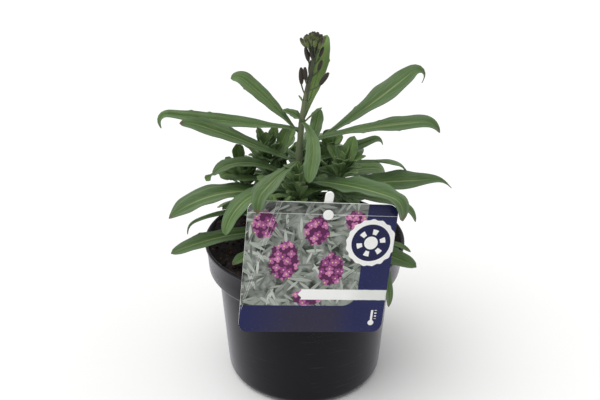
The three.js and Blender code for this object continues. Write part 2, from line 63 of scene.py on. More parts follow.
import bpy
from bpy.props import FloatProperty, FloatVectorProperty, IntProperty, PointerProperty
from mathutils import Matrix, Vector, noise
from mathutils.bvhtree import BVHTree

BODY = "root"
MM = 0.001

# Sizes that the pieces share. The pot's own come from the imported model.
POT_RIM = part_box("pot")[1].x
POT_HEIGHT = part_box("pot")[1].z
COLLAR_FOOT = POT_HEIGHT - 19 * MM
CARD = {"width": 86 * MM, "height": 82 * MM, "thick": 0.7 * MM, "corner": 6 * MM, "punch": 2.6 * MM}
FLAP_LINE = 34
PUNCH_PLACE = (2.4 * MM, FLAP_LINE * MM, 0)
STAKE = {"width": 4.8 * MM, "thick": 1.6 * MM, "above": 13 * MM, "below": 98 * MM, "point": 18 * MM}
STAKE_SETBACK = 2.1 * MM
# The turn from one leaf or bud to the next
GOLDEN = 137.5


def spun(degrees, axis):
    return Matrix.Rotation(radians(degrees), 4, axis)


def leaning(spot, tip):
    """Where the card or the stake stands: tipped up, slanting, and turned a little to the side."""
    return Matrix.Translation(spot) @ spun(9.5, "Z") @ spun(tip, "X") @ spun(-6.5, "Z")


CARD_PLACE = leaning(Vector((7, -64.6, 111.4)) * MM, 90 - 4.9)
STAKE_PLACE = leaning(CARD_PLACE @ Vector(PUNCH_PLACE), 90 + 5)

# The line of the main stem and the spike above it, the heights where they start and end, and the stem's
# radii at both its ends.
STEM_LINE = [
    (0, 0, 70), (-1.5, -1, 92), (-3.6, -1, 118), (-4, -0.5, 142), (-3, 0, 164),
    (-1.5, 0, 180), (1.1, 0, 196), (4.2, 0, 211), (5.4, 0, 222), (4.4, 0, 232),
]
STEM_FOOT, STEM_TOP, SPIKE_TOP = 76, 191, 226
STEM_RADII = (2.9, 1.7)


class Leaf(NamedTuple):
    """A leaf. Curl and belly are shares of its length."""

    # The turn and the lift at the root, and the droop towards the tip
    turn: float
    lift: float
    droop: float
    length: float
    width: float
    # The turn sideways on the way, the roll of the blade, and the hook of the tip, which starts at the curl
    sway: float = 0
    roll: float = 0
    hook: float = 0
    curl: float = 0.83
    # Where the leaf is widest, and how slim it is to both sides of that
    belly: float = 0.75
    taper: float = 0.52


class Shoot(NamedTuple):
    """A side shoot: height and turn of the root, reach and rise of the tip, and its longest leaf."""

    height: float
    turn: float
    reach: float
    rise: float
    longest: float


# The large leaves, each with the height of its root
LARGE_LEAVES = [
    (168, Leaf(176, 50, 14, 57, 10, roll=-45, hook=60)),
    (172, Leaf(181, 7, -2, 94, 7.5, roll=-45, hook=115, belly=0.54)),
    (149, Leaf(190, 29, 9, 79, 11, roll=-32, hook=20, belly=0.72)),
    (157, Leaf(4, 33, -11, 99, 15.5, roll=30, hook=158, belly=0.68, taper=1.7)),
    (163, Leaf(351, 18, 14, 89, 11, roll=20, hook=60, belly=0.72)),
    (177, Leaf(290, 2, 68, 53, 8.8, sway=-44)),
    (150, Leaf(54, 33, -50, 38, 9.5, belly=0.7)),
    (176, Leaf(39, 63, -20, 55, 9.5, roll=40, hook=20)),
    (178, Leaf(176, 40, 36, 13.5, 6.5, roll=-20, belly=0.4)),
    (175, Leaf(352, 48, 14, 17, 4)),
    (188, Leaf(192, 64, 14, 7, 3)),
    (187, Leaf(352, 48, 0, 8, 2.6)),
    (151, Leaf(254, 13, 14, 86, 11.5, hook=84)),
    (131, Leaf(188, 52, 96, 63, 11, roll=-15, belly=0.8)),
    (142, Leaf(9, 14, 38, 75, 10, hook=45, belly=0.86, taper=0.9)),
    (148, Leaf(14, 12, -8, 59, 6.5, roll=30, hook=90, belly=0.68)),
    (133.5, Leaf(0, 3, -1, 99, 15, roll=18, hook=50, belly=0.58, taper=1.2)),
    (138, Leaf(316, 15, 18, 92, 18, hook=86, curl=0.8, belly=0.62)),
    (134, Leaf(329, 18, 66, 48, 11.5, taper=0.8)),
    (129, Leaf(22, 22, 46, 67, 13, roll=24, hook=60)),
    (128, Leaf(328, 17, 27, 86, 9, hook=60)),
    (127, Leaf(218, 36, 118, 69, 11, roll=-20)),
    (125, Leaf(196, 22, 60, 87, 18, roll=-12, belly=0.66, taper=0.7)),
    (110, Leaf(187, 20, 55, 80, 3.2, roll=-30, hook=50, belly=0.6)),
    (102, Leaf(202, 12, 28, 87, 12, roll=-15, belly=0.68)),
    (99, Leaf(325, 10, 18, 84, 13, roll=10)),
    (104, Leaf(313.5, 32, 128, 101, 8)),
    (100, Leaf(343, 8, 20, 73, 6, hook=20)),
    (99, Leaf(227, 10, 16, 61, 9)),
    (156, Leaf(76, 4, 40, 64, 11)),
    (152, Leaf(122, 4, 50, 62, 11, hook=30)),
    (143, Leaf(100, 2, 50, 76, 12)),
    (136, Leaf(58, 12, 46, 88, 12.5, hook=20)),
    (127, Leaf(132, 20, 66, 90, 14)),
    (117, Leaf(76, 26, 84, 92, 13)),
    (112, Leaf(110, 20, 62, 92, 12)),
    (106, Leaf(36, 24, 80, 92, 12)),
    (102, Leaf(146, 16, 46, 72, 11)),
]

SIDE_SHOOTS = [
    Shoot(117, 164, 22, 38, 32),
    Shoot(108, 173, 38, 32, 31),
    Shoot(113, 43, 25, 40, 31),
    Shoot(119, 343, 29, 35, 31),
    Shoot(110, 354, 35, 16, 26),
    Shoot(115, 268, 19, 32, 28),
    Shoot(109, 243, 36, 22, 28),
    Shoot(110, 209, 35, 17, 26),
    Shoot(104, 94, 27, 32, 30),
    Shoot(121, 117, 27, 26, 30),
]
SHOOT_LEAVES = 10
# Leaves that stand out of the tufts: the number of the shoot, the share of its line where the leaf leaves
# it, and the leaf.
TUFT_LEAVES = [
    (2, 0.95, Leaf(135, 80, 0, 22, 9, belly=0.8)),
    (1, 0.95, Leaf(150, 68, -6, 18, 8.5)),
    (1, 0.95, Leaf(80, 84, 0, 15, 7)),
    (1, 0.95, Leaf(15, 68, -6, 20, 6.5, roll=50)),
    (1, 0.75, Leaf(345, 62, -8, 32, 8.5, roll=55)),
    (2, 0.75, Leaf(80, 76, 0, 18, 12)),
    (2, 0.95, Leaf(184, 34, 100, 26, 5, roll=-60, belly=0.92, taper=2)),
    (2, 0.85, Leaf(150, 60, 30, 20, 8)),
    (2, 0.9, Leaf(205, 52, 90, 17, 12, roll=-20)),
    (6, 0.95, Leaf(210, 66, 30, 17, 6)),
    (6, 0.98, Leaf(330, 74, 20, 16, 5)),
    (3, 0.9, Leaf(60, 80, 0, 17, 9)),
    (3, 0.98, Leaf(330, 56, 30, 15, 9, roll=40)),
    (3, 0.6, Leaf(200, 70, 10, 22, 9)),
    (4, 0.7, Leaf(352, 68, -14, 31, 9.5, roll=60)),
    (4, 0.95, Leaf(350, 50, 50, 14, 6, roll=40)),
    (4, 0.98, Leaf(30, 78, 0, 14, 4)),
    (4, 0.8, Leaf(250, 70, 60, 16, 8)),
    (10, 0.97, Leaf(15, 62, 0, 20, 7, roll=40)),
    (10, 0.9, Leaf(345, 38, 16, 22, 8, roll=40)),
    (10, 0.95, Leaf(60, 30, 0, 18, 7, roll=30)),
]
# How a side shoot's leaf may be bent: shares of its length, and more turn and lift
BEND_SHARES = [1, 0.8, 0.62]
BEND_TURNS = [
    (0, 0), (12, 0), (-12, 0), (0, 12), (0, -12), (14, 14),
    (-14, 14), (26, 4), (-26, 4), (40, 12), (-40, 12), (0, 26),
]

# The lower buds of the spike: height and turn of the stalk's root, the stalk's lean and length, by how
# much more upright the bud stands, and the bud's length.
LOWER_BUDS = [
    (192.8, 186, 19, 8.2, 18, 10.5), (199, 226, 24, 4.4, 18, 8.8), (196, 349, 60, 8.6, 26, 10),
    (204.5, 346, 47, 6.6, 28, 7.2), (209.5, 187, 20, 5.4, 7, 8.8), (211, 346, 35, 7.4, 15, 7.2),
    (213, 255, 26, 3.8, 10, 5.5), (200, 70, 28, 6, 14, 9), (207, 60, 30, 6, 12, 8),
]


def srgb(red, green, blue):
    """A colour as it is read off a screen, from 0 to 255, in the linear numbers that shaders take."""
    shares = [value / 255 for value in (red, green, blue)]
    return tuple(s / 12.92 if s <= 0.04045 else ((s + 0.055) / 1.055) ** 2.4 for s in shares)


def scaled(colour, share):
    """A darker or a lighter form of a colour."""
    return tuple(min(value * share, 1) for value in colour)


def mix(a, b, t):
    return a + (b - a) * t


def ease(t):
    s = min(max(t, 0), 1)
    return s * s * (3 - 2 * s)


def even(steps):
    """Even shares from 0 to 1."""
    return [i / steps for i in range(steps + 1)]


def swell(t, belly, taper):
    """A profile that grows from 0 to 1 at its belly, and shrinks to 0 again at the far end."""
    return max(sin(pi * t ** (log(0.5) / log(belly))), 0) ** taper


# Settings that a user would change


def colour(name, description, red, green, blue):
    return FloatVectorProperty(
        name=name, description=description, subtype="COLOR", min=0, max=1, default=srgb(red, green, blue)
    )


class PotLook(bpy.types.PropertyGroup):
    """Size and finish of the pot."""

    rim: FloatProperty(name="Rim radius", description="Radius of the rim", default=POT_RIM, unit="LENGTH")
    sides: IntProperty(name="Sides", description="Faces round the pot", default=112, min=24)
    plastic: colour("Plastic", "Colour of the pot's plastic", 12, 11, 13)
    dust: colour("Dust", "Colour of dried compost dust on the plastic", 92, 86, 80)


class SoilLook(bpy.types.PropertyGroup):
    """Grain and colours of the soil."""

    crumbs: IntProperty(name="Crumbs", description="Loose crumbs on the soil", default=950, min=0)
    peat: colour("Peat", "Colour of the moist compost", 26, 21, 18)
    bark: colour("Bark", "Colour of the bark and coir bits in it", 102, 68, 46)


class LeafLook(bpy.types.PropertyGroup):
    """Thickness and colours of the leaves."""

    thickness: FloatProperty(
        name="Thickness", description="Thickness of a blade", default=0.45 * MM, unit="LENGTH"
    )
    blade: colour("Blade", "Upper side of a grown leaf", 81, 111, 60)
    # The shade colour also gives the painted shade on the lower leaves.
    shade: colour("Shade", "Darker patches of the upper side", 58, 88, 40)
    rib: colour("Rib", "Midrib and veins", 156, 170, 118)
    under: colour("Underside", "Lower side of a leaf", 106, 126, 98)
    # This colour also paints the light shining through the steep leaf behind the spike.
    young_and_backlit: colour("Young leaf", "Fresh small leaves", 124, 157, 82)
    dry: colour("Dry tip", "Withered tips", 92, 76, 62)


class BudLook(bpy.types.PropertyGroup):
    """Colours of the stem and the buds."""

    bud: colour("Bud", "Closed sepals", 52, 45, 38)
    base: colour("Bud base", "Foot of a bud", 104, 116, 68)
    stem: colour("Stem", "Green part of the stem", 110, 118, 88)
    # This dark colour is the stem's own tinge up among the buds, and painted shade low down under the leaves.
    flush: colour("Flush", "Dark flush at both ends of the stem", 44, 50, 32)


class CardLook(bpy.types.PropertyGroup):
    """Inks of the picture card."""

    navy: colour("Navy", "Band and strip round the picture", 32, 36, 82)
    white: colour("White", "Unprinted plastic", 248, 248, 246)
    foliage: colour("Foliage", "Pale leaves in the picture", 206, 212, 204)
    gaps: colour("Gaps", "Dark between those leaves", 44, 52, 42)
    petal: colour("Petal", "Deep petals in the picture", 150, 70, 132)
    pale: colour("Pale petal", "Pale petals in the picture", 206, 128, 176)


class StudioLook(bpy.types.PropertyGroup):
    """Floor and lights."""

    floor: colour("Floor", "Plain pale floor", 247, 247, 246)
    sky: FloatProperty(name="Surround", description="Strength of the white surround", default=0.75, min=0)
    front: FloatProperty(name="Front", description="Share of it left in front of the pot", default=0.3, min=0)
    key: FloatProperty(name="Key", description="Strength of the soft light from above", default=1.6, min=0)


class WallflowerLook(bpy.types.PropertyGroup):
    """All settings of the potted wallflower."""

    pot: PointerProperty(type=PotLook)
    soil: PointerProperty(type=SoilLook)
    leaf: PointerProperty(type=LeafLook)
    bud: PointerProperty(type=BudLook)
    card: PointerProperty(type=CardLook)
    studio: PointerProperty(type=StudioLook)


# Materials


class Signal:
    """An output socket of a material. Arithmetic on it adds Math nodes, & and | take the lower and the
    higher of two values, and wave is a sine.
    """

    def __init__(self, recipe, socket):
        self.recipe = recipe
        self.socket = socket

    def maths(self, operation, *others):
        return self.recipe.node("Math", {"operation": operation}, dict(enumerate((self, *others))))

    __add__ = __radd__ = partialmethod(maths, "ADD")
    __sub__ = partialmethod(maths, "SUBTRACT")
    __mul__ = __rmul__ = partialmethod(maths, "MULTIPLY")
    __truediv__ = partialmethod(maths, "DIVIDE")
    __pow__ = partialmethod(maths, "POWER")
    __and__ = partialmethod(maths, "MINIMUM")
    __or__ = partialmethod(maths, "MAXIMUM")
    __abs__ = partialmethod(maths, "ABSOLUTE")
    wave = partialmethod(maths, "SINE")

    def __rsub__(self, other):
        return self.maths("MULTIPLY_ADD", -1, other)

    def band(self, low, high):
        """A smooth step from 0 at low to 1 at high."""
        sockets = {"Value": self, "From Min": low, "From Max": high}
        return self.recipe.node("MapRange", {"interpolation_type": "SMOOTHSTEP"}, sockets)

    def between(self, low, high, soft):
        """1 from low to high, and 0 outside them."""
        return self.band(low, low + soft) * self.band(high, high - soft)


class Recipe:
    """A material, or the world's light, while its nodes are being added."""

    def __init__(self, name, surface, shelf=bpy.data.materials, shader="Principled BSDF"):
        self.material = shelf.new(name)
        self.material.use_nodes = True
        tree = self.material.node_tree
        self.nodes, self.links = tree.nodes, tree.links
        self.shader = self.nodes[shader]
        self.done(surface)

    def feed(self, socket, value):
        if isinstance(value, Signal):
            self.links.new(value.socket, socket)
        elif hasattr(value, "__len__") and len(socket.default_value) == 4:
            socket.default_value = (*value[:3], 1)
        else:
            socket.default_value = value

    def node(self, kind, settings, sockets, output=0):
        made = self.nodes.new("ShaderNode" + kind)
        for key, value in settings.items():
            setattr(made, key, value)
        for key, value in sockets.items():
            self.feed(made.inputs[key], value)
        return Signal(self, made.outputs[output])

    def mixed(self, share, a, b):
        return self.node("Mix", {"data_type": "RGBA"}, {0: share, 6: a, 7: b}, 2)

    def place(self):
        return self.node("TexCoord", {}, {}, "Object")

    def axes(self, vector):
        return [self.node("SeparateXYZ", {}, {0: vector}, i) for i in range(3)]

    def sheet(self):
        """The two coordinates of the piece's UV map, from 0 to 1."""
        return self.axes(self.node("TexCoord", {}, {}, "UV"))[:2]

    def attribute(self, name):
        return self.node("Attribute", {"attribute_name": name}, {}, "Fac")

    def cloud(self, where, scale, detail=3):
        return self.node("TexNoise", {}, {"Vector": where, "Scale": scale, "Detail": detail})

    def coated(self, colour, roughness, height, depth, strength=1):
        """Finishes the material with a colour, a roughness and a bump."""
        bump = self.node("Bump", {}, {"Height": height, "Distance": depth, "Strength": strength})
        return self.done({"Base Color": colour, "Roughness": roughness, "Normal": bump})

    def done(self, surface):
        for socket, value in surface.items():
            self.feed(self.shader.inputs[socket], value)
        return self.material


# The gap between the lines that the mould left round the pot
RING_GAP = 1.1 * MM


def pot_plastic(look):
    """Black moulded plastic: a soft sheen, fine turned lines, dust near the rim and light scuffs."""
    bluish = (0.88, 0.86, 1)
    gloss = {"Specular IOR Level": 0.14, "Specular Tint": bluish}
    bloom = {"Sheen Weight": 0.33, "Sheen Roughness": 0.37, "Sheen Tint": bluish}
    ink = Recipe("pot_plastic", gloss | bloom)
    where = ink.place()
    z = ink.axes(where)[2]
    patches = ink.cloud(where, 26, 5)
    grit = ink.cloud(where, 900, 2)
    rings = (z * (2 * pi / RING_GAP)).wave()
    dusty = patches.band(0.5, 0.78) * grit.band(0.45, 0.7) * z.band(0.4 * POT_HEIGHT, POT_HEIGHT)
    scuffs = ink.cloud(ink.node("Mapping", {}, {"Vector": where, "Scale": (60, 60, 900)}), 1, 2)
    scuffed = scuffs.band(0.62, 0.72) * patches.band(0.35, 0.6)
    ground = ink.mixed(dusty * 0.35 + scuffed * 0.08, look.plastic, look.dust)
    height = rings * 0.12 + grit * 0.5 + scuffed * 0.4
    return ink.coated(ground, 0.2 + patches * 0.1 + dusty * 0.3, height, 0.05 * MM, 0.5)


def soil_earth(look):
    """Dark moist compost with reddish bits of bark in it."""
    ink = Recipe("soil_earth", {"Specular IOR Level": 0.25})
    where = ink.place()
    grains = ink.cloud(where, 420, 6)
    bits = ink.cloud(where, 260).band(0.62, 0.7)
    tone = ink.attribute("tone")
    ground = ink.mixed(bits * 0.6 + tone * 0.7, look.peat, look.bark)
    # Darker peat in the hollows of the grain, where the bump is low: painted shade.
    shaded_hollows = ink.mixed(grains.band(0.35, 0.65), scaled(look.peat, 0.45), ground)
    return ink.coated(shaded_hollows, 0.78 + grains * 0.2, grains, 0.6 * MM)


def leaf_skin(name, look, under):
    """A leaf's upper or lower side: soft bloom, a pale midrib, faint veins and a dry tip on some."""
    ink = Recipe(name, {"Specular IOR Level": 0.32, "Sheen Weight": 0.05, "Sheen Roughness": 0.5})
    where = ink.place()
    across, along = ink.sheet()
    tone = ink.attribute("tone")
    youth = ink.attribute("youth")
    side = abs(across - 0.5) * 2
    patches = ink.cloud(where, 70, 4)
    fine = ink.cloud(where, 700, 3)
    rib = side.band(0.24, 0.04) * along.band(1.05, 0.7)
    lengthwise = ink.node("CombineXYZ", {}, {"X": side * 9, "Y": along * 1.2, "Z": tone * 30})
    streaks = ink.cloud(lengthwise, 1, 2)
    veins = (along * 60 - side * 16).wave().band(0.55, 1) * side.band(0.08, 0.25) * side.band(1, 0.7)
    if under:
        plain = ink.mixed(patches.band(0.3, 0.7) * 0.6, look.under, look.blade)
    else:
        # Leaves low on the plant lean towards the shade colour: painted shade, as less light reaches them.
        low = ink.axes(where)[2].band(145 * MM, 95 * MM)
        plain = ink.mixed((patches + tone * 0.5 + low * 0.2).band(0.45, 0.95), look.blade, look.shade)
    # The young colour is the real tint of young leaves, and on the steep leaf behind the spike it is painted
    # light shining through it.
    grown = ink.mixed(youth, plain, look.young_and_backlit)
    streaked = ink.mixed(streaks.band(0.45, 0.75) * 0.28, grown, look.rib)
    lined = ink.mixed((rib * 0.55) | (veins * 0.07), streaked, look.rib)
    edged = ink.mixed(side.band(0.4, 1) * 0.45, lined, look.under)
    dry = (along + (fine - 0.5) * 0.02).band(0.955, 0.99) * tone.band(0.45, 0.75)
    tipped = ink.mixed(dry * 0.85, edged, look.dry)
    height = rib * (1.4 if under else -1.4) - veins * 0.5 + streaks * 0.6 + fine * 0.3
    return ink.coated(tipped, 0.44 + fine * 0.16 + patches * 0.06, height, 0.12 * MM, 0.8)


def stem_skin(look):
    """Ribbed green stem, tinged dark up among the buds and darker low down, where the darkening is painted
    shade under the leaves.
    """
    ink = Recipe("stem_skin", {"Specular IOR Level": 0.4, "Sheen Weight": 0.1})
    where = ink.place()
    z = ink.axes(where)[2]
    streaks = ink.cloud(ink.node("Mapping", {}, {"Vector": where, "Scale": (900, 900, 60)}), 1, 3)
    # Low down, under the leaves, the dark mix is painted shade; up among the buds it is the stem's own dark
    # tinge.
    low = z.band(175 * MM, 95 * MM)
    high = z.band(182 * MM, 205 * MM)
    flush = (low + high * 0.6 + (streaks - 0.5) * 0.9).band(0.1, 0.9)
    ground = ink.mixed(flush, look.stem, look.flush)
    return ink.coated(ground, 0.5 + streaks * 0.15, streaks, 0.15 * MM, 0.7)


def bud_skin(look):
    """Closed sepals: dark brown, and green from the foot to a height that the bud's tone sets."""
    ink = Recipe("bud_skin", {"Specular IOR Level": 0.35, "Sheen Weight": 0.15})
    where = ink.place()
    along = ink.sheet()[1]
    tone = ink.attribute("tone")
    fine = ink.cloud(where, 1500, 3)
    limit = 0.15 + tone * 0.8
    green = (along + (fine - 0.5) * 0.3).band(limit + 0.12, limit - 0.2)
    return ink.coated(ink.mixed(green, look.bud, look.base), 0.5 + fine * 0.2, fine, 0.12 * MM, 0.6)


def white_plastic(look, name="white_plastic"):
    """Plain white moulded plastic with faint flow marks."""
    ink = Recipe(name, {})
    flow = ink.cloud(ink.place(), 180, 4)
    ground = ink.mixed(flow.band(0.4, 0.8) * 0.4, look.white, scaled(look.white, 0.88))
    return ink.coated(ground, 0.34 + flow * 0.16, flow, 0.04 * MM, 0.5)


def line_distance(x, y, start, end):
    """How far a point lies to the left of the line from start to end."""
    run, rise = end[0] - start[0], end[1] - start[1]
    length = hypot(run, rise)
    return (y - start[1]) * (run / length) - (x - start[0]) * (rise / length)


def strewn(ink, x, y, size, shift):
    """A scatter of cells: the place in each cell, turned its own way, and two random numbers."""
    point = ink.node("CombineXYZ", {}, {"X": x + shift, "Y": y + shift * 0.7})
    cells = {"Vector": point, "Scale": 1 / size}
    flat = {"voronoi_dimensions": "2D"}
    middle = ink.node("TexVoronoi", flat, cells, "Position")
    chance = ink.axes(ink.node("TexVoronoi", flat, cells, "Color"))
    offset = ink.axes(ink.node("VectorMath", {"operation": "SUBTRACT"}, {0: point, 1: middle}))
    turn = chance[0] * (2 * pi)
    sine, cosine = turn.wave(), (turn + pi / 2).wave()
    reach = offset[0] * cosine + offset[1] * sine
    aside = offset[1] * cosine - offset[0] * sine
    return reach, aside, chance[1], chance[2]


# The design on the card, in millimetres from its middle: the picture's right edge, foot and round corner,
# the middle of the seal and the radii in it, the white strip's left end, foot and top, and the middle of
# the thermometer's bulb, with the bulb's radius and half the width and the height of the tube.
PICTURE_RIGHT, PICTURE_FOOT, PICTURE_ROUND = 25.5, -23.5, 9
SEAL, SEAL_RADIUS, SEAL_DISC, SEAL_RAYS, SEAL_SUN = (29.4, 17.3), 14.6, 11.6, (5.2, 8.6), 4.1
STRIP_END, STRIP_FOOT, STRIP_TOP = -9, -19.6, -12.6
THERMOMETER, BULB, TUBE_HALF, TUBE_TOP = (36, -34.5), 1.9, 0.75, 8.5
# Both edges of the crease across the card's left side
CREASE = [((-27, 40), (-41, -18)), ((-24.5, 40), (-40, -18))]
# Flower clusters in the picture: middle and half sizes.
CLUSTERS = [
    (-33, 27, 6.5, 8), (-20, 5, 8.5, 12), (-3, 24, 7, 8.5),
    (8, 0, 7.5, 10), (-4, -18, 9, 5), (19, 31, 6, 6),
]
# The size of one flower, and from the lowest the layers of leaves behind: size of a leaf, shift of pattern
FLOWER_SIZE = 4.4
FIELD_LAYERS = [(13, 3), (11, 41), (10, 83), (9, 127), (8, 171)]


def card_print(look):
    """The printed face: navy round a picture of mauve flower clusters among grey-green leaves."""
    ink = Recipe("card_print", {"Specular IOR Level": 0.15, "Coat Weight": 0.06, "Coat Roughness": 0.12})
    across, up = ink.sheet()
    x = (across - 0.5) * (CARD["width"] / MM)
    y = (up - 0.5) * (CARD["height"] / MM)
    spot = ink.node("CombineXYZ", {}, {"X": x, "Y": y})
    rough = ink.cloud(spot, 0.35, 3) - 0.5

    # The leaves behind the flowers
    depth = ink.cloud(spot, 0.12, 3).band(0.35, 0.65)
    picture = ink.mixed(depth, look.gaps, scaled(look.foliage, 0.5))
    for size, shift in FIELD_LAYERS:
        reach, aside, lightness, warmth = strewn(ink, x, y, size, shift)
        half = size * 0.62
        edge = (1 - (reach / half) ** 2) * (size * 0.1) - abs(aside)
        blade = edge.band(0, 0.3)
        shine = 0.3 + lightness * 0.7 - abs(aside).band(0.25, 0) * 0.15
        tint = ink.mixed(warmth * 0.55, look.foliage, (0.2, 0.26, 0.18))
        leaf = ink.mixed(shine, scaled(look.gaps, 0.6), tint)
        picture = ink.mixed(blade, picture, leaf)

    # The flower clusters
    nearest = None
    for cx, cy, rx, ry in CLUSTERS:
        bowl = ((x - cx) / rx) ** 2 + ((y - cy) / ry) ** 2
        nearest = bowl if nearest is None else nearest & bowl
    cluster = (nearest + rough * 1.6).band(1.12, 0.92)
    reach, aside, lightness, warmth = strewn(ink, x, y, FLOWER_SIZE, 9)
    far = (reach**2 + aside**2) ** 0.5
    lobes = abs((aside.maths("ARCTAN2", reach) * 2).wave())
    petals = (1.35 + lobes * 1.15 - far).band(-0.1, 0.25)
    flower = ink.mixed(lightness.band(0.25, 0.9), look.petal, look.pale)
    flower = ink.mixed(far.band(0.55, 0.3), flower, (0.75, 0.62, 0.3))
    flower = ink.mixed(petals, scaled(look.petal, 0.35), flower)
    picture = ink.mixed(cluster, picture, flower)

    # The navy ground shows right of the picture and below it, where the picture's corner is round.
    from_right = PICTURE_RIGHT - x
    from_foot = y - PICTURE_FOOT
    corner = ((PICTURE_ROUND - from_right) | 0) ** 2 + ((PICTURE_ROUND - from_foot) | 0) ** 2
    inside = (PICTURE_ROUND - corner**0.5).band(0, 0.25)
    sheen = ink.cloud(spot, 0.03, 2).band(0.35, 0.7)
    navy = ink.mixed(sheen * 0.2, look.navy, scaled(look.navy, 2))
    # Below the picture's middle the navy is darker: painted shade.
    navy_shade = from_foot.band(2, -3) * x.band(-46, -6) * x.band(28, 8)
    navy = ink.mixed(navy_shade * 0.75, navy, (0.035, 0.03, 0.045))
    face = ink.mixed(inside, navy, picture)

    # A bare white strip, ragged at its left end, and a round seal with a plain sun on it
    strip = (y + rough * 0.4).between(STRIP_FOOT, STRIP_TOP, 0.3) * (x + rough * 5 - STRIP_END).band(0, 0.4)
    faded = ink.mixed(x.band(18, 30) * 0.4, look.white, look.foliage)
    face = ink.mixed(strip, face, faded)
    sx, sy = x - SEAL[0], y - SEAL[1]
    from_seal = (sx**2 + sy**2) ** 0.5
    angle = sy.maths("ARCTAN2", sx)
    seal = (SEAL_RADIUS + (angle * 17).wave() * 0.35 + rough * 0.8 - from_seal).band(0, 0.3)
    face = ink.mixed(seal, face, look.white)
    disc = (SEAL_DISC - from_seal).band(0, 0.25)
    rays = (angle * 6).wave().band(0.2, 0.45) * from_seal.between(*SEAL_RAYS, 0.2)
    sun = (SEAL_SUN - from_seal).band(0, 0.2) | rays
    face = ink.mixed(disc, face, ink.mixed(sun, scaled(look.navy, 0.8), look.white))

    # A thermometer, the common sign for hardiness
    tx, ty = x - THERMOMETER[0], y - THERMOMETER[1]
    low = (TUBE_TOP - ty).band(0, 0.2)
    bulb = (BULB - (tx**2 + ty**2) ** 0.5).band(0, 0.25)
    tube = (TUBE_HALF - abs(tx)).band(0, 0.2) * ty.band(0, 0.1) * low
    marks = (ty * 3.2).wave().band(0.2, 0.5) * tx.between(1.5, 2.9, 0.1) * (ty - 2.5).band(0, 0.1) * low
    face = ink.mixed((bulb | tube) | marks, face, look.white)

    # The score line of the hanging flap, and a crease across the left side
    score = (0.22 - abs(y - FLAP_LINE)).band(0, 0.15)
    outer, inner = [abs(line_distance(x, y, *ends)) for ends in CREASE]
    crease = (0.2 - (outer & inner)).band(0, 0.2) * ink.cloud(spot, 0.5, 2).band(0.3, 0.6)
    # Above the score line the hanging flap is darkened: painted shade.
    face = ink.mixed((y - FLAP_LINE - 0.3).band(0, 0.2) * 0.3, face, (0.02, 0.02, 0.025))
    # The score line is whitened, and both edges of the crease are pale lines: painted highlights along the
    # fold.
    face = ink.mixed((score | crease) * 0.6, face, look.white)
    return ink.coated(face, 0.2 + (rough + 0.5) * 0.12, rough * 0.2 - score - crease, 0.1 * MM, 0.5)


def floor_paint(look):
    """Plain pale floor with the faintest unevenness."""
    ink = Recipe("floor_paint", {"Specular IOR Level": 0.1})
    soft = ink.cloud(ink.place(), 3, 2)
    return ink.done({
        "Base Color": ink.mixed(soft * 0.1, look.floor, scaled(look.floor, 0.97)),
        "Roughness": 0.75 + soft * 0.1,
    })


# Modelling helpers


def start_afresh():
    if bpy.context.mode != "OBJECT":
        bpy.ops.object.mode_set(mode="OBJECT")
    bpy.ops.object.select_all(action="DESELECT")


def named(name):
    """The object that the last operator added, under its own name."""
    piece = bpy.context.object
    piece.name = name
    piece.data.name = name
    return piece


def choose(*pieces):
    start_afresh()
    for piece in pieces:
        piece.select_set(True)
    bpy.context.view_layer.objects.active = pieces[0]


def apply_with(piece, kind, **settings):
    """Adds a modifier with these settings and applies it."""
    choose(piece)
    modifier = piece.modifiers.new(kind.title(), kind)
    for key, value in settings.items():
        setattr(modifier, key, value)
    bpy.ops.object.modifier_apply(modifier=modifier.name)


def cut(piece, tool):
    """Takes the shape of a tool out of a piece, and then the tool away."""
    apply_with(piece, "BOOLEAN", object=tool, operation="DIFFERENCE", solver="EXACT")
    bpy.data.objects.remove(tool)


def rounded(piece, width, segments):
    """Rounds the sharp edges of a piece."""
    apply_with(piece, "BEVEL", width=width, segments=segments, limit_method="ANGLE", angle_limit=1)


def joined(name, pieces):
    choose(*pieces)
    bpy.ops.object.join()
    return named(name)


def settle(piece, matrix):
    """Puts a piece in its place by moving its mesh, so that its object stays at the origin."""
    piece.data.transform(matrix @ piece.matrix_world)
    piece.matrix_world = Matrix.Identity(4)


def smooth(piece, angle):
    choose(piece)
    bpy.ops.object.shade_smooth_by_angle(angle=radians(angle))


def paint(piece, *finishes):
    piece.data.materials.clear()
    for finish in finishes:
        piece.data.materials.append(finish)


def hand_over(piece, node):
    """The piece rides on the plant's body and stands for a node, which it hides."""
    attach(piece, BODY)
    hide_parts(node)


def set_tone(piece, name, value):
    """The same number on every point of a piece, for its material to read."""
    points = piece.data.attributes.new(name, "FLOAT", "POINT")
    points.data.foreach_set("value", [value] * len(piece.data.vertices))


def added(name, data, **tones):
    """A new object in the scene, with each of these tones on its points."""
    piece = bpy.data.objects.new(name, data)
    bpy.context.scene.collection.objects.link(piece)
    for tone, value in tones.items():
        set_tone(piece, tone, value)
    return piece


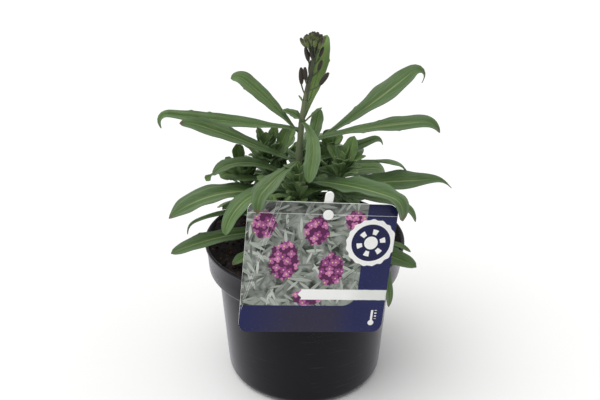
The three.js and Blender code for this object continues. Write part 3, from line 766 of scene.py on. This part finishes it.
def turned(name, profile, sides):
    """A closed body from a circle that is extruded and scaled to each radius and height of a profile."""
    start_afresh()
    rings = [(radius * MM, height * MM) for radius, height in profile]
    radius, height = rings[0]
    bpy.ops.mesh.primitive_circle_add(
        vertices=sides, radius=radius, location=(0, 0, height), fill_type="NGON"
    )
    shell = named(name)
    bpy.ops.object.transform_apply(location=True, rotation=True, scale=True)
    bpy.ops.object.mode_set(mode="EDIT")
    bpy.ops.mesh.select_all(action="SELECT")
    bpy.ops.mesh.flip_normals()
    bpy.ops.mesh.select_mode(type="EDGE")
    for (r0, z0), (r1, z1) in zip(rings, rings[1:]):
        bpy.ops.mesh.extrude_edges_move(TRANSFORM_OT_translate={"value": (0, 0, z1 - z0)})
        bpy.ops.transform.resize(value=(r1 / r0, r1 / r0, 1), center_override=(0, 0, z1))
    bpy.ops.mesh.edge_face_add()
    bpy.ops.mesh.select_all(action="SELECT")
    bpy.ops.mesh.normals_make_consistent(inside=False)
    bpy.ops.object.mode_set(mode="OBJECT")
    return shell


def stalk(name, points, radii, sides):
    """A closed tube along points, with a radius at each."""
    start_afresh()
    line = bpy.data.curves.new(name, "CURVE")
    line.dimensions = "3D"
    line.bevel_depth = 1
    line.bevel_resolution = sides // 4 - 1
    line.use_fill_caps = True
    spline = line.splines.new("POLY")
    spline.points.add(len(points) - 1)
    for knot, point, radius in zip(spline.points, points, radii):
        knot.co = (*(point * MM), 1)
        knot.radius = radius * MM
    choose(added(name, line))
    bpy.ops.object.convert(target="MESH")
    tube = named(name)
    set_tone(tube, "tone", 0)
    set_tone(tube, "youth", 0)
    return tube


# Plant geometry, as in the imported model


def catmull(points, t):
    """The smooth line through points, at a share of its way."""
    way = min(max(t, 0), 1) * (len(points) - 1)
    i = min(int(way), len(points) - 2)
    s = way - i
    a, b = points[i], points[i + 1]
    before = points[i - 1] if i > 0 else a + (a - b)
    after = points[i + 2] if i + 2 < len(points) else b + (b - a)

    def knot(p, q):
        return max((q - p).length_squared ** 0.25, 1e-9)

    gap0, gap1, gap2 = knot(before, a), knot(a, b), knot(b, after)
    slope0 = ((a - before) / gap0 - (b - before) / (gap0 + gap1) + (b - a) / gap1) * gap1
    slope1 = ((b - a) / gap1 - (after - a) / (gap1 + gap2) + (after - b) / gap2) * gap1
    return (
        a * (2 * s**3 - 3 * s**2 + 1)
        + slope0 * (s**3 - 2 * s**2 + s)
        + b * (-2 * s**3 + 3 * s**2)
        + slope1 * (s**3 - s**2)
    )


STEM_SAMPLES = [catmull([Vector(p) for p in STEM_LINE], t) for t in even(400)]


def stem_at(height):
    """The middle of the stem at a height."""
    above = next(i for i, p in enumerate(STEM_SAMPLES) if p.z >= height)
    low, high = STEM_SAMPLES[above - 1], STEM_SAMPLES[above]
    return low.lerp(high, (height - low.z) / (high.z - low.z))


def stem_radius(height):
    return mix(*STEM_RADII, (height - STEM_FOOT) / (STEM_TOP - STEM_FOOT))


def compass(turn):
    return Vector((cos(radians(turn)), sin(radians(turn)), 0))


# A leaf: the steps of its midrib, the power with which droop and sway grow on the way, the share of its
# length in which the tip hooks, how early the blade has rolled over, and the width of its foot.
MIDRIB_STEPS = 100
LATE_BEND, HOOK_RUN, ROLL_PACE, FOOT_WIDTH = 1.5, 0.16, 1.6, 0.26
# The least half width of a blade, and the same near its tip. Then how deep the teeth in its edge are, and
# how deep and how wide the groove along its midrib is.
LEAST_HALF, TIP_HALF, TOOTH, GROOVE, GROOVE_WIDTH = 0.7, 0.16, 0.55, 0.32, 0.09


def midrib(root, leaf):
    """The line of a leaf from root to tip: points, each with the blade's side and up."""
    places = []
    point = root.copy()
    for i in range(MIDRIB_STEPS + 1):
        t = i / MIDRIB_STEPS
        hook = leaf.hook * ease((t - leaf.curl) / HOOK_RUN)
        pitch = radians(leaf.lift - leaf.droop * t**LATE_BEND - hook)
        heading = leaf.turn + leaf.sway * t**LATE_BEND
        along = compass(heading) * cos(pitch)
        along.z = sin(pitch)
        roll = radians(leaf.roll * ease(t * ROLL_PACE))
        side = Matrix.Rotation(roll, 3, along) @ compass(heading + 90)
        places.append((point.copy(), side, along.cross(side)))
        point += along * (leaf.length / MIDRIB_STEPS)
    return places


def flat_blade(along, across):
    """A flat sheet that every leaf of one kind is copied from."""
    start_afresh()
    bpy.ops.mesh.primitive_grid_add(x_subdivisions=across, y_subdivisions=along, size=1)
    return named(f"flat_blade_{along}")


def grow_leaf(sheet, root, leaf, chance, youth, teeth=0):
    """A copy of the flat sheet, bent to the leaf's line: channelled, waved, and blunt at the tip."""
    mesh = sheet.data.copy()
    places = midrib(root, leaf)
    phase = chance.uniform(0, 6.28)
    tooth_rows = [(chance.choice((-1, 1)), chance.randint(36, 84)) for _ in range(teeth)]
    for vertex in mesh.vertices:
        step = round((vertex.co.y + 0.5) * MIDRIB_STEPS)
        t = step / MIDRIB_STEPS
        spread = -2 * vertex.co.x
        share = copysign(abs(spread) ** 1.35, spread)
        point, side, up = places[step]
        outline = FOOT_WIDTH * (1 - t) ** 1.5 + swell(t, leaf.belly, leaf.taper)
        reach = max(leaf.width / 2 * outline, LEAST_HALF if t < 0.9 else TIP_HALF)
        reach *= 1 + 0.03 * sin(21 * t + phase + spread) + 0.02 * sin(43 * t + 2 * phase - spread)
        notch = sum(TOOTH for edge, row in tooth_rows if abs(step - row) < 1 and share * edge > 0.99)
        ripple = 0.13 * ease(3 * t) * sin(9 * t + 1.3 * share + leaf.turn)
        flutter = 0.065 * ease(3 * t) * sin(29 * t + phase + 2 * share) * share**2
        fold = 0.2 * abs(share) ** 1.3 + (ripple + flutter) * abs(share) ** 1.4
        groove = GROOVE * exp(-((share / GROOVE_WIDTH) ** 2)) * ease(t * 5) * ease((1 - t) * 4)
        place = point + side * (reach * share + notch * share) + up * (reach * fold - groove)
        vertex.co = place * MM
    return added("leaf", mesh, tone=chance.random(), youth=youth)


def make_leafy(name, tube, blades, look, node):
    """Joins blades, with their second material underneath, to the stem that they grow on."""
    leaves = joined(name + "_blades", blades)
    paint(leaves, MATERIALS["leaf_top"], MATERIALS["leaf_under"])
    sheet = {"offset": 0, "use_even_offset": False, "material_offset": 1}
    apply_with(leaves, "SOLIDIFY", thickness=look.thickness, **sheet)
    paint(tube, MATERIALS["stem"])
    for piece in (leaves, tube):
        smooth(piece, 60)
    hand_over(joined(name, [leaves, tube]), node)


MATERIALS = {}

# The camera of the photograph: its place in metres, its tilt up from straight down, its lens and its film
CAMERA_PLACE, CAMERA_TILT, LENS, SENSOR = (-0.003, -0.45, 0.347), 63.6, 47.1, 36
# The soft light from above comes a little from the front and the left: its tips and width, in degrees
LIGHT_TIPS, LIGHT_WIDTH = (12, -22), 60


# Operators


class WALLFLOWER_OT_stage(bpy.types.Operator):
    """Set up the floor, the soft lights and the camera."""

    bl_idname = "wallflower.stage"
    bl_label = "Stage"

    def execute(self, context):
        look = context.scene.wallflower.studio
        start_afresh()
        bpy.ops.mesh.primitive_plane_add(size=9)
        floor = named("studio_floor")
        paint(floor, floor_paint(look))
        turn = (*map(radians, LIGHT_TIPS), 0)
        bpy.ops.object.light_add(type="SUN", location=(-0.4, -0.2, 1), rotation=turn)
        light = named("overhead_light")
        light.data.energy = look.key
        light.data.angle = radians(LIGHT_WIDTH)
        sky = Recipe("studio_surround", {"Color": (1, 1, 1)}, bpy.data.worlds, "Background")
        aside, back, up = sky.axes(sky.node("TexCoord", {}, {}, "Generated"))
        lit = (back + up * 0.7 + abs(aside) * 0.5).band(-0.7, 0.6)
        world = sky.done({"Strength": (lit * (1 - look.front) + look.front) * look.sky})
        context.scene.world = world
        context.scene.view_settings.view_transform = "Standard"
        bpy.ops.object.camera_add(location=CAMERA_PLACE, rotation=(radians(CAMERA_TILT), 0, 0))
        camera = named("photo_camera")
        camera.data.lens = LENS
        camera.data.sensor_width = SENSOR
        camera.data.clip_start = 0.01
        context.scene.camera = camera
        return {"FINISHED"}


# The drain holes in the pot's floor: their number, their radius, and how far from the middle they are
DRAINS, DRAIN_RADIUS, DRAIN_CIRCLE = 6, 4.5, 36


def arc(middle, radius, start, end, steps):
    """Points of a round corner in a pot's profile, from one angle to another, in degrees."""
    angles = [radians(mix(start, end, t)) for t in even(steps)]
    return [(middle[0] + radius * cos(a), middle[1] + radius * sin(a)) for a in angles]


class WALLFLOWER_OT_pot(bpy.types.Operator):
    """Turn the nursery pot: foot, tapered body, shoulder, collar and lip."""

    bl_idname = "wallflower.pot"
    bl_label = "Pot"

    def execute(self, context):
        look = context.scene.wallflower.pot
        top, collar = POT_HEIGHT / MM, COLLAR_FOOT / MM
        # Floor, round foot, tapered body, shoulder, collar and lip, as radius and height
        outside = [
            (1, 0), (20, 0), (46.5, 0),
            *arc((46.5, 6), 6, -75, 0, 5),
            (53.4, 20), (54.9, 44), (56.5, 70),
            *arc((59.2, 74.4), 2.4, 172, 128, 3),
            *arc((60.6, 80.1), 2.4, -52, -5, 3),
            (63.4, collar + 8), (64.1, top - 2.9), (64.25, top - 2.4),
            *arc((64.35, top - 1.7), 0.65, -80, 0, 3),
            *arc((64.35, top - 0.65), 0.65, 0, 90, 4),
        ]
        inside = [
            *arc((63.95, top - 0.6), 0.6, 90, 175, 3),
            (62.6, top - 8), (61.9, collar + 1),
            (56, collar - 3.5), (51.7, 8), (46.5, 1.2), (1, 1),
        ]
        size = look.rim / POT_RIM
        shell = turned("nursery_pot", [(r * size, z) for r, z in outside + inside], look.sides)
        drills = []
        for i in range(DRAINS):
            place = compass(360 / DRAINS * i) * (DRAIN_CIRCLE * MM)
            start_afresh()
            bpy.ops.mesh.primitive_cylinder_add(
                vertices=32, radius=DRAIN_RADIUS * MM, depth=6 * MM, location=place
            )
            drills.append(named("drain_drill"))
        cut(shell, joined("drain_drill", drills))
        paint(shell, pot_plastic(look))
        smooth(shell, 30)
        hand_over(shell, "pot")
        return {"FINISHED"}


# The soil: its height at the pot's wall, the rise of its dome and that dome's radius, and its side, as
# radius and height.
SOIL_EDGE, SOIL_RISE, SOIL_RADIUS = 95, 2.2, 65
SOIL_SIDE = [(46.5, 1.5), (50.6, 7), (55.6, 75.7), (61.4, 79.9), (62.5, 94)]
# Its lumps: their strength, and how far from the middle they reach it. Then for each wave of them its
# share, how many go round, how it turns outwards, and where it starts.
LUMPS, LUMP_START = 0.75, 12
SOIL_WAVES = [(0.5, 5, 0.53, -1), (0.5, 5, 0.11, 1), (0.7, 9, -0.4, 2)]
# The clods between the lumps: how high they are, and how close together
CLODS = [(1.3, 0.16), (0.9, 0.45), (0.45, 1.1)]
# The crumbs: how far out they lie, the sizes of small and large ones, the shares of small ones and of
# chips, and how a chip and a lump are stretched.
CRUMB_REACH, SMALL_SIZES, LARGE_SIZES = 61.5, (0.5, 1.1), (1.1, 2.2)
SMALL_SHARE, CHIP_SHARE = 0.8, 0.25
CHIP, LUMP = Vector((2.2, 0.8, 0.45)), Vector((1, 0.85, 0.75))


def soil_height(x, y):
    """The height of the soil at a place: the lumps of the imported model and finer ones."""
    radius, angle = hypot(x, y), atan2(y, x)
    dome = SOIL_EDGE + SOIL_RISE * (1 - (radius / SOIL_RADIUS) ** 2)
    lumps = sum(
        strength * sin(around * angle + outwards * radius + start)
        for strength, around, outwards, start in SOIL_WAVES
    )
    place = Vector((x, y, 0))
    clods = sum(size * noise.noise(place * pace) for size, pace in CLODS)
    return dome + LUMPS * lumps * min(radius / LUMP_START, 1) + clods


class WALLFLOWER_OT_soil(bpy.types.Operator):
    """Fill the pot with lumpy compost and strew crumbs on it."""

    bl_idname = "wallflower.soil"
    bl_label = "Soil"

    def execute(self, context):
        look = context.scene.wallflower.soil
        earth = soil_earth(look)
        top = [(62.2 * (1 - t) + 0.4, SOIL_EDGE) for t in even(44)]
        bed = turned("soil_bed", SOIL_SIDE + top, 144)
        for vertex in bed.data.vertices:
            x, y, z = vertex.co / MM
            if z > SOIL_EDGE - 0.5:
                vertex.co.z = soil_height(x, y) * MM
        set_tone(bed, "tone", 0)
        paint(bed, earth)
        smooth(bed, 80)
        hand_over(bed, "potting_soil")

        chance = random.Random(17)
        start_afresh()
        bpy.ops.mesh.primitive_ico_sphere_add(subdivisions=1, radius=1)
        pebble = named("crumb_shape")
        crumbs = []
        for _ in range(look.crumbs):
            radius = CRUMB_REACH * sqrt(chance.random())
            angle = chance.uniform(0, 2 * pi)
            x, y = radius * cos(angle), radius * sin(angle)
            size = chance.uniform(*(SMALL_SIZES if chance.random() < SMALL_SHARE else LARGE_SIZES))
            chip = chance.random() < CHIP_SHARE
            stretch = CHIP if chip else LUMP
            mesh = pebble.data.copy()
            for vertex in mesh.vertices:
                vertex.co *= chance.uniform(0.75, 1.15)
            turn = Matrix.Rotation(chance.uniform(0, 6.28), 4, "Z")
            turn @= Matrix.Rotation(chance.uniform(-0.5, 0.5), 4, "Y")
            spot = Vector((x, y, soil_height(x, y) + size * 0.2)) * MM
            mesh.transform(Matrix.Translation(spot) @ turn @ Matrix.Diagonal((*(stretch * size * MM), 1)))
            tone = chance.uniform(0.5, 1) if chip else chance.random() ** 3 * 0.5
            crumbs.append(added("crumb", mesh, tone=tone))
        bpy.data.objects.remove(pebble)
        layer = joined("soil_crumbs", crumbs)
        paint(layer, earth)
        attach(layer, BODY)
        return {"FINISHED"}


class WALLFLOWER_OT_main_stem(bpy.types.Operator):
    """Grow the main stem with its large leaves."""

    bl_idname = "wallflower.main_stem"
    bl_label = "Main stem"

    def execute(self, context):
        look = context.scene.wallflower.leaf
        chance = random.Random(5)
        sheet = flat_blade(50, 12)
        blades = []
        for height, leaf in LARGE_LEAVES:
            teeth = 3 if leaf.length > 50 else 0
            # Steep leaves get the young colour; on the tall leaf behind the spike it is painted light shining
            # through the blade.
            youth = 0.9 if leaf.lift > 60 else 0.05
            blades.append(grow_leaf(sheet, stem_at(height), leaf, chance, youth, teeth))
        bpy.data.objects.remove(sheet)
        heights = [mix(STEM_FOOT, STEM_TOP, t) for t in even(60)]
        knots = [1 + 0.05 * sin(z * 0.9) + 0.04 * sin(z * 0.37) for z in heights]
        radii = [stem_radius(z) * knot for z, knot in zip(heights, knots)]
        tube = stalk("stem_tube", [stem_at(z) for z in heights], radii, 24)
        make_leafy("leafy_main_stem", tube, blades, look, "main_stem")
        return {"FINISHED"}


def skin_of(node):
    """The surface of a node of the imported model, to measure distances to."""
    mesh = NODES[node].data
    return BVHTree.FromPolygons([v.co for v in mesh.vertices], [p.vertices for p in mesh.polygons])


# A side shoot: its gap to the stem, its radii, and the powers with which it runs out and up
SHOOT_GAP, SHOOT_RADII, OUTWARDS, UPWARDS = 0.35, (1.7, 0.9), 1.7, 1.2
# Its leaves from the first to the last: their place on it, their share of the longest one, lift and droop
LEAF_PLACES, LEAF_SHARES, LEAF_LIFTS, LEAF_DROOPS = (0.4, 0.98), (1, 0.45), (30, 78), (50, 8)
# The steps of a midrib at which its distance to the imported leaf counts, and how large that may be
NEAR_STEPS, NEAR = (36, 72, 97), 0.47 * MM
# The small leaves added to a shoot, and how clear they stay of the larger pieces
SPARE_LEAVES, SPARE_CLEAR = 16, 1.5 * MM


def shoot_line(shoot):
    """The line of a side shoot: out from the main stem and then up."""
    start = stem_radius(shoot.height) + SHOOT_GAP + SHOOT_RADII[0]
    points = []
    for t in even(5):
        out = mix(start, shoot.reach, 1 - (1 - t) ** OUTWARDS)
        point = stem_at(shoot.height) + compass(shoot.turn) * out
        point.z = shoot.height + shoot.rise * t**UPWARDS
        points.append(point)
    return points


def shoot_leaves(shoot, line, skin):
    """The leaves of a side shoot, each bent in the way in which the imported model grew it."""
    found = []
    for k in range(SHOOT_LEAVES):
        t = k / (SHOOT_LEAVES - 1)
        length = shoot.longest * mix(*LEAF_SHARES, t**1.3)
        root = catmull(line, mix(*LEAF_PLACES, t))
        turn, lift = shoot.turn + 40 + k * GOLDEN, mix(*LEAF_LIFTS, t)
        droop, width = mix(*LEAF_DROOPS, t), 0.17 * length + 2.2
        best = None
        for share in BEND_SHARES:
            for more, higher in BEND_TURNS:
                leaf = Leaf(turn + more, lift + higher, droop, length * share, width)
                places = midrib(root, leaf)
                off = max(skin.find_nearest(places[step][0] * MM)[3] for step in NEAR_STEPS)
                if best is None or off < best[0] - 0.02 * MM:
                    best = (off, leaf)
        if best[0] < NEAR:
            found.append((root, best[1], 0.2 + 0.5 * t))
    return found


def spare_leaves(line, chance, walls):
    """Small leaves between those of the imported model, which stay clear of the larger pieces."""
    found = []
    for _ in range(SPARE_LEAVES * 3):
        t = chance.uniform(0.25, 1)
        root = catmull(line, t)
        length = chance.uniform(14, 27) * mix(1, 0.6, t)
        turn, lift = chance.uniform(0, 360), mix(28, 72, t) + chance.uniform(-12, 12)
        droop, hook, roll = chance.uniform(15, 60), chance.choice((0, 0, 30)), chance.uniform(-20, 20)
        leaf = Leaf(turn, lift, droop, length, 0.24 * length + 2, hook=hook, roll=roll)
        places = midrib(root, leaf)
        spots = [places[step][0] * MM for step in range(30, MIDRIB_STEPS + 1, 10)]
        if all(wall.find_nearest(spot)[3] > SPARE_CLEAR for wall in walls for spot in spots):
            found.append((root, leaf, chance.uniform(0, 0.75)))
        if len(found) == SPARE_LEAVES:
            break
    return found


class WALLFLOWER_OT_side_shoots(bpy.types.Operator):
    """Grow the leafy side shoots round the main stem."""

    bl_idname = "wallflower.side_shoots"
    bl_label = "Side shoots"

    def execute(self, context):
        look = context.scene.wallflower.leaf
        chance = random.Random(23)
        large = ("main_stem", "picture_card", "card_stake", "pot", "potting_soil")
        walls = [skin_of(node) for node in large]
        sheet = flat_blade(20, 8)
        for number, shoot in enumerate(SIDE_SHOOTS, 1):
            node = f"side_shoot_{number}"
            line = shoot_line(shoot)
            leaves = shoot_leaves(shoot, line, skin_of(node))
            leaves += [(catmull(line, t), leaf, 0.35) for owner, t, leaf in TUFT_LEAVES if owner == number]
            leaves += spare_leaves(line, chance, walls)
            blades = [grow_leaf(sheet, root, leaf, chance, youth) for root, leaf, youth in leaves]
            points = [catmull(line, t) for t in even(24)]
            tube = stalk("shoot_tube", points, [mix(*SHOOT_RADII, t) for t in even(24)], 16)
            make_leafy(f"leafy_shoot_{number}", tube, blades, look, node)
        bpy.data.objects.remove(sheet)
        return {"FINISHED"}


# The close head of the spike: its buds, how far the lowest ones lean, and from the lowest bud to the
# topmost one their roots, stalks, lengths and widths. Then the radii of a bud's stalk and of the spike.
HEAD_BUDS, HEAD_LEAN = 30, 31
HEAD_ROOTS, HEAD_STALKS, HEAD_LENGTHS, HEAD_WIDTHS = (215, 223), (8.4, 3.5), (7, 6), (2.7, 2.3)
STALK_RADII, SPIKE_RADII = (0.45, 0.6), (1.65, 1.1)


def bud_shape(name, belly, taper):
    """One closed bud of length 1 and width 1 along Z, with four sepals. A low taper makes it blunt."""
    start_afresh()
    bpy.ops.mesh.primitive_uv_sphere_add(segments=16, ring_count=11, radius=0.5, location=(0, 0, 0))
    bud = named(name)
    for vertex in bud.data.vertices:
        x, y, z = vertex.co
        along = z + 0.5
        ring = hypot(x, y)
        angle = atan2(y, x)
        bulge = swell(along, belly, taper) * (0.46 + 0.04 * abs(cos(2 * angle))) / max(ring, 0.02)
        lips = 0.03 * cos(4 * angle) * ease((along - 0.8) * 5) if ring > 0.05 else 0
        vertex.co = (x * bulge, y * bulge, along + lips)
    return bud


def tilted(turn, lean):
    """The direction that leans from upright by some degrees, towards a turn."""
    return compass(turn) * sin(radians(lean)) + Vector((0, 0, cos(radians(lean))))


def set_bud(shape, root, turn, lean, stalk_length, rise, length, width, chance, tone):
    """A bud and its stalk, which grows from a root and bends upwards to the bud."""
    grip = root + tilted(turn, lean) * stalk_length
    axis = tilted(turn, lean - rise)
    spin = Matrix.Rotation(chance.uniform(0, 6.28), 4, "Z")
    stand = axis.to_track_quat("Z", "Y").to_matrix().to_4x4()
    mesh = shape.data.copy()
    scale = Matrix.Diagonal((width * MM, width * MM, length * MM, 1))
    mesh.transform(Matrix.Translation(grip * MM) @ stand @ spin @ scale)
    bud = added("bud", mesh, tone=tone, youth=0)
    middle = root.lerp(grip, 0.55) + compass(turn) * (0.03 * stalk_length)
    points = [catmull([root, middle, grip, grip + axis], t) for t in even(12)]
    return bud, stalk("bud_stalk", points, [mix(*STALK_RADII, t) for t in even(12)], 8)


class WALLFLOWER_OT_flower_spike(bpy.types.Operator):
    """Grow the spike of closed buds at the top of the main stem."""

    bl_idname = "wallflower.flower_spike"
    bl_label = "Flower spike"

    def execute(self, context):
        look = context.scene.wallflower.bud
        chance = random.Random(31)
        pairs = []
        shape = bud_shape("lower_bud", 0.52, 0.36)
        for height, turn, lean, stalk_length, rise, length in LOWER_BUDS:
            fit = (turn, lean, stalk_length, rise, length, 0.33 * length)
            pairs.append(set_bud(shape, stem_at(height), *fit, chance, chance.uniform(0, 0.15)))
        bpy.data.objects.remove(shape)
        shape = bud_shape("head_bud", 0.6, 0.5)
        for k, t in enumerate(even(HEAD_BUDS - 1)):
            turn, lean = k * GOLDEN + 34, HEAD_LEAN * sqrt(1 - t)
            fit = (turn, lean, mix(*HEAD_STALKS, t), 0, mix(*HEAD_LENGTHS, t), mix(*HEAD_WIDTHS, t))
            root = stem_at(mix(*HEAD_ROOTS, t))
            pairs.append(set_bud(shape, root, *fit, chance, chance.uniform(0.6, 0.95)))
        buds, tubes = [list(row) for row in zip(*pairs)]
        bpy.data.objects.remove(shape)
        heads = joined("spike_buds", buds)
        paint(heads, bud_skin(look))
        smooth(heads, 60)
        points = [stem_at(mix(STEM_TOP + 0.3, SPIKE_TOP - 2, t)) for t in even(30)]
        tubes.append(stalk("spike_tube", points, [mix(*SPIKE_RADII, t) for t in even(30)], 20))
        stems = joined("spike_stems", tubes)
        paint(stems, MATERIALS["stem"])
        smooth(stems, 60)
        spike = joined("budding_spike", [heads, stems])
        hand_over(spike, "flower_spike")
        return {"FINISHED"}


class WALLFLOWER_OT_card(bpy.types.Operator):
    """Cut, punch and print the picture card."""

    bl_idname = "wallflower.card"
    bl_label = "Picture card"

    def execute(self, context):
        look = context.scene.wallflower.card
        width, height = CARD["width"], CARD["height"]
        start_afresh()
        bpy.ops.mesh.primitive_plane_add(size=1)
        sheet = named("printed_card")
        sheet.scale = (width, height, 1)
        bpy.ops.object.transform_apply(location=True, rotation=True, scale=True)
        bpy.ops.object.mode_set(mode="EDIT")
        bpy.ops.mesh.select_all(action="SELECT")
        bpy.ops.mesh.bevel(offset=CARD["corner"], segments=10, affect="VERTICES")
        bpy.ops.object.mode_set(mode="OBJECT")
        apply_with(sheet, "SOLIDIFY", thickness=CARD["thick"], offset=0)
        start_afresh()
        bpy.ops.mesh.primitive_cylinder_add(
            vertices=40, radius=CARD["punch"], depth=9 * MM, location=PUNCH_PLACE
        )
        cut(sheet, named("punch"))
        rounded(sheet, 0.12 * MM, 2)
        prints = sheet.data.uv_layers.active or sheet.data.uv_layers.new(name="UVMap")
        for corner, loop in zip(prints.data, sheet.data.loops):
            spot = sheet.data.vertices[loop.vertex_index].co
            corner.uv = (spot.x / width + 0.5, spot.y / height + 0.5)
        paint(sheet, card_print(look), white_plastic(look, "card_back"))
        for face in sheet.data.polygons:
            face.material_index = 0 if face.normal.z > 0.5 else 1
        settle(sheet, CARD_PLACE)
        smooth(sheet, 30)
        hand_over(sheet, "picture_card")
        return {"FINISHED"}


# The button on the stake that goes through the card, as radius and height: shaft, head, rounded edge
BUTTON = [
    (0.3, -3.5), (2.1, -3.5), (2.1, 0.65), (3, 0.65), (3, 1.1), (2.8, 1.3), (2.3, 1.38), (0.3, 1.4),
]


class WALLFLOWER_OT_stake(bpy.types.Operator):
    """Mould the white stake behind the card, with the button that holds it."""

    bl_idname = "wallflower.stake"
    bl_label = "Card stake"

    def execute(self, context):
        look = context.scene.wallflower.card
        half = STAKE["width"] / 2
        top = STAKE["above"] - half
        start_afresh()
        bpy.ops.mesh.primitive_circle_add(vertices=48, radius=half, location=(0, top, 0), fill_type="NGON")
        bar = named("stake_bar")
        bpy.ops.object.transform_apply(location=True, rotation=True, scale=True)
        for vertex in bar.data.vertices:
            below = top - vertex.co.y
            if below > 0:
                vertex.co.y = -STAKE["below"] + STAKE["point"] * (1 - below / half)
        apply_with(bar, "SOLIDIFY", thickness=STAKE["thick"], offset=0)
        rounded(bar, 0.3 * MM, 3)
        settle(bar, STAKE_PLACE @ Matrix.Translation((0, 0, -STAKE_SETBACK - STAKE["thick"] / 2)))
        button = turned("card_button", BUTTON, 40)
        settle(button, CARD_PLACE @ Matrix.Translation(PUNCH_PLACE))
        stake = joined("white_stake", [bar, button])
        paint(stake, white_plastic(look))
        smooth(stake, 40)
        hand_over(stake, "card_stake")
        return {"FINISHED"}


class WALLFLOWER_PT_pieces(bpy.types.Panel):
    """The pieces of the potted wallflower and their settings."""

    bl_idname = "WALLFLOWER_PT_pieces"
    bl_label = "Potted wallflower"
    bl_space_type = "VIEW_3D"
    bl_region_type = "UI"
    bl_category = "Wallflower"

    def draw(self, context):
        looks = context.scene.wallflower
        for part in ("pot", "soil", "leaf", "bud", "card", "studio"):
            box = self.layout.box()
            box.label(text=part.title())
            for name in getattr(looks, part).bl_rna.properties.keys():
                if name not in ("rna_type", "name"):
                    box.prop(getattr(looks, part), name)
        for step in STEPS:
            self.layout.operator(f"wallflower.{step}")


STEPS = ("stage", "pot", "soil", "main_stem", "side_shoots", "flower_spike", "card", "stake")
CLASSES = (
    PotLook, SoilLook, LeafLook, BudLook, CardLook, StudioLook, WallflowerLook,
    WALLFLOWER_OT_stage, WALLFLOWER_OT_pot, WALLFLOWER_OT_soil, WALLFLOWER_OT_main_stem,
    WALLFLOWER_OT_side_shoots, WALLFLOWER_OT_flower_spike, WALLFLOWER_OT_card, WALLFLOWER_OT_stake,
    WALLFLOWER_PT_pieces,
)


def register():
    for each in CLASSES:
        bpy.utils.register_class(each)
    bpy.types.Scene.wallflower = PointerProperty(type=WallflowerLook)


def unregister():
    del bpy.types.Scene.wallflower
    for each in reversed(CLASSES):
        bpy.utils.unregister_class(each)


def main():
    register()
    looks = bpy.context.scene.wallflower
    MATERIALS["leaf_top"] = leaf_skin("leaf_top", looks.leaf, under=False)
    MATERIALS["leaf_under"] = leaf_skin("leaf_under", looks.leaf, under=True)
    MATERIALS["stem"] = stem_skin(looks.bud)
    for step in STEPS:
        getattr(bpy.ops.wallflower, step)()


if __name__ == "__main__":
    main()
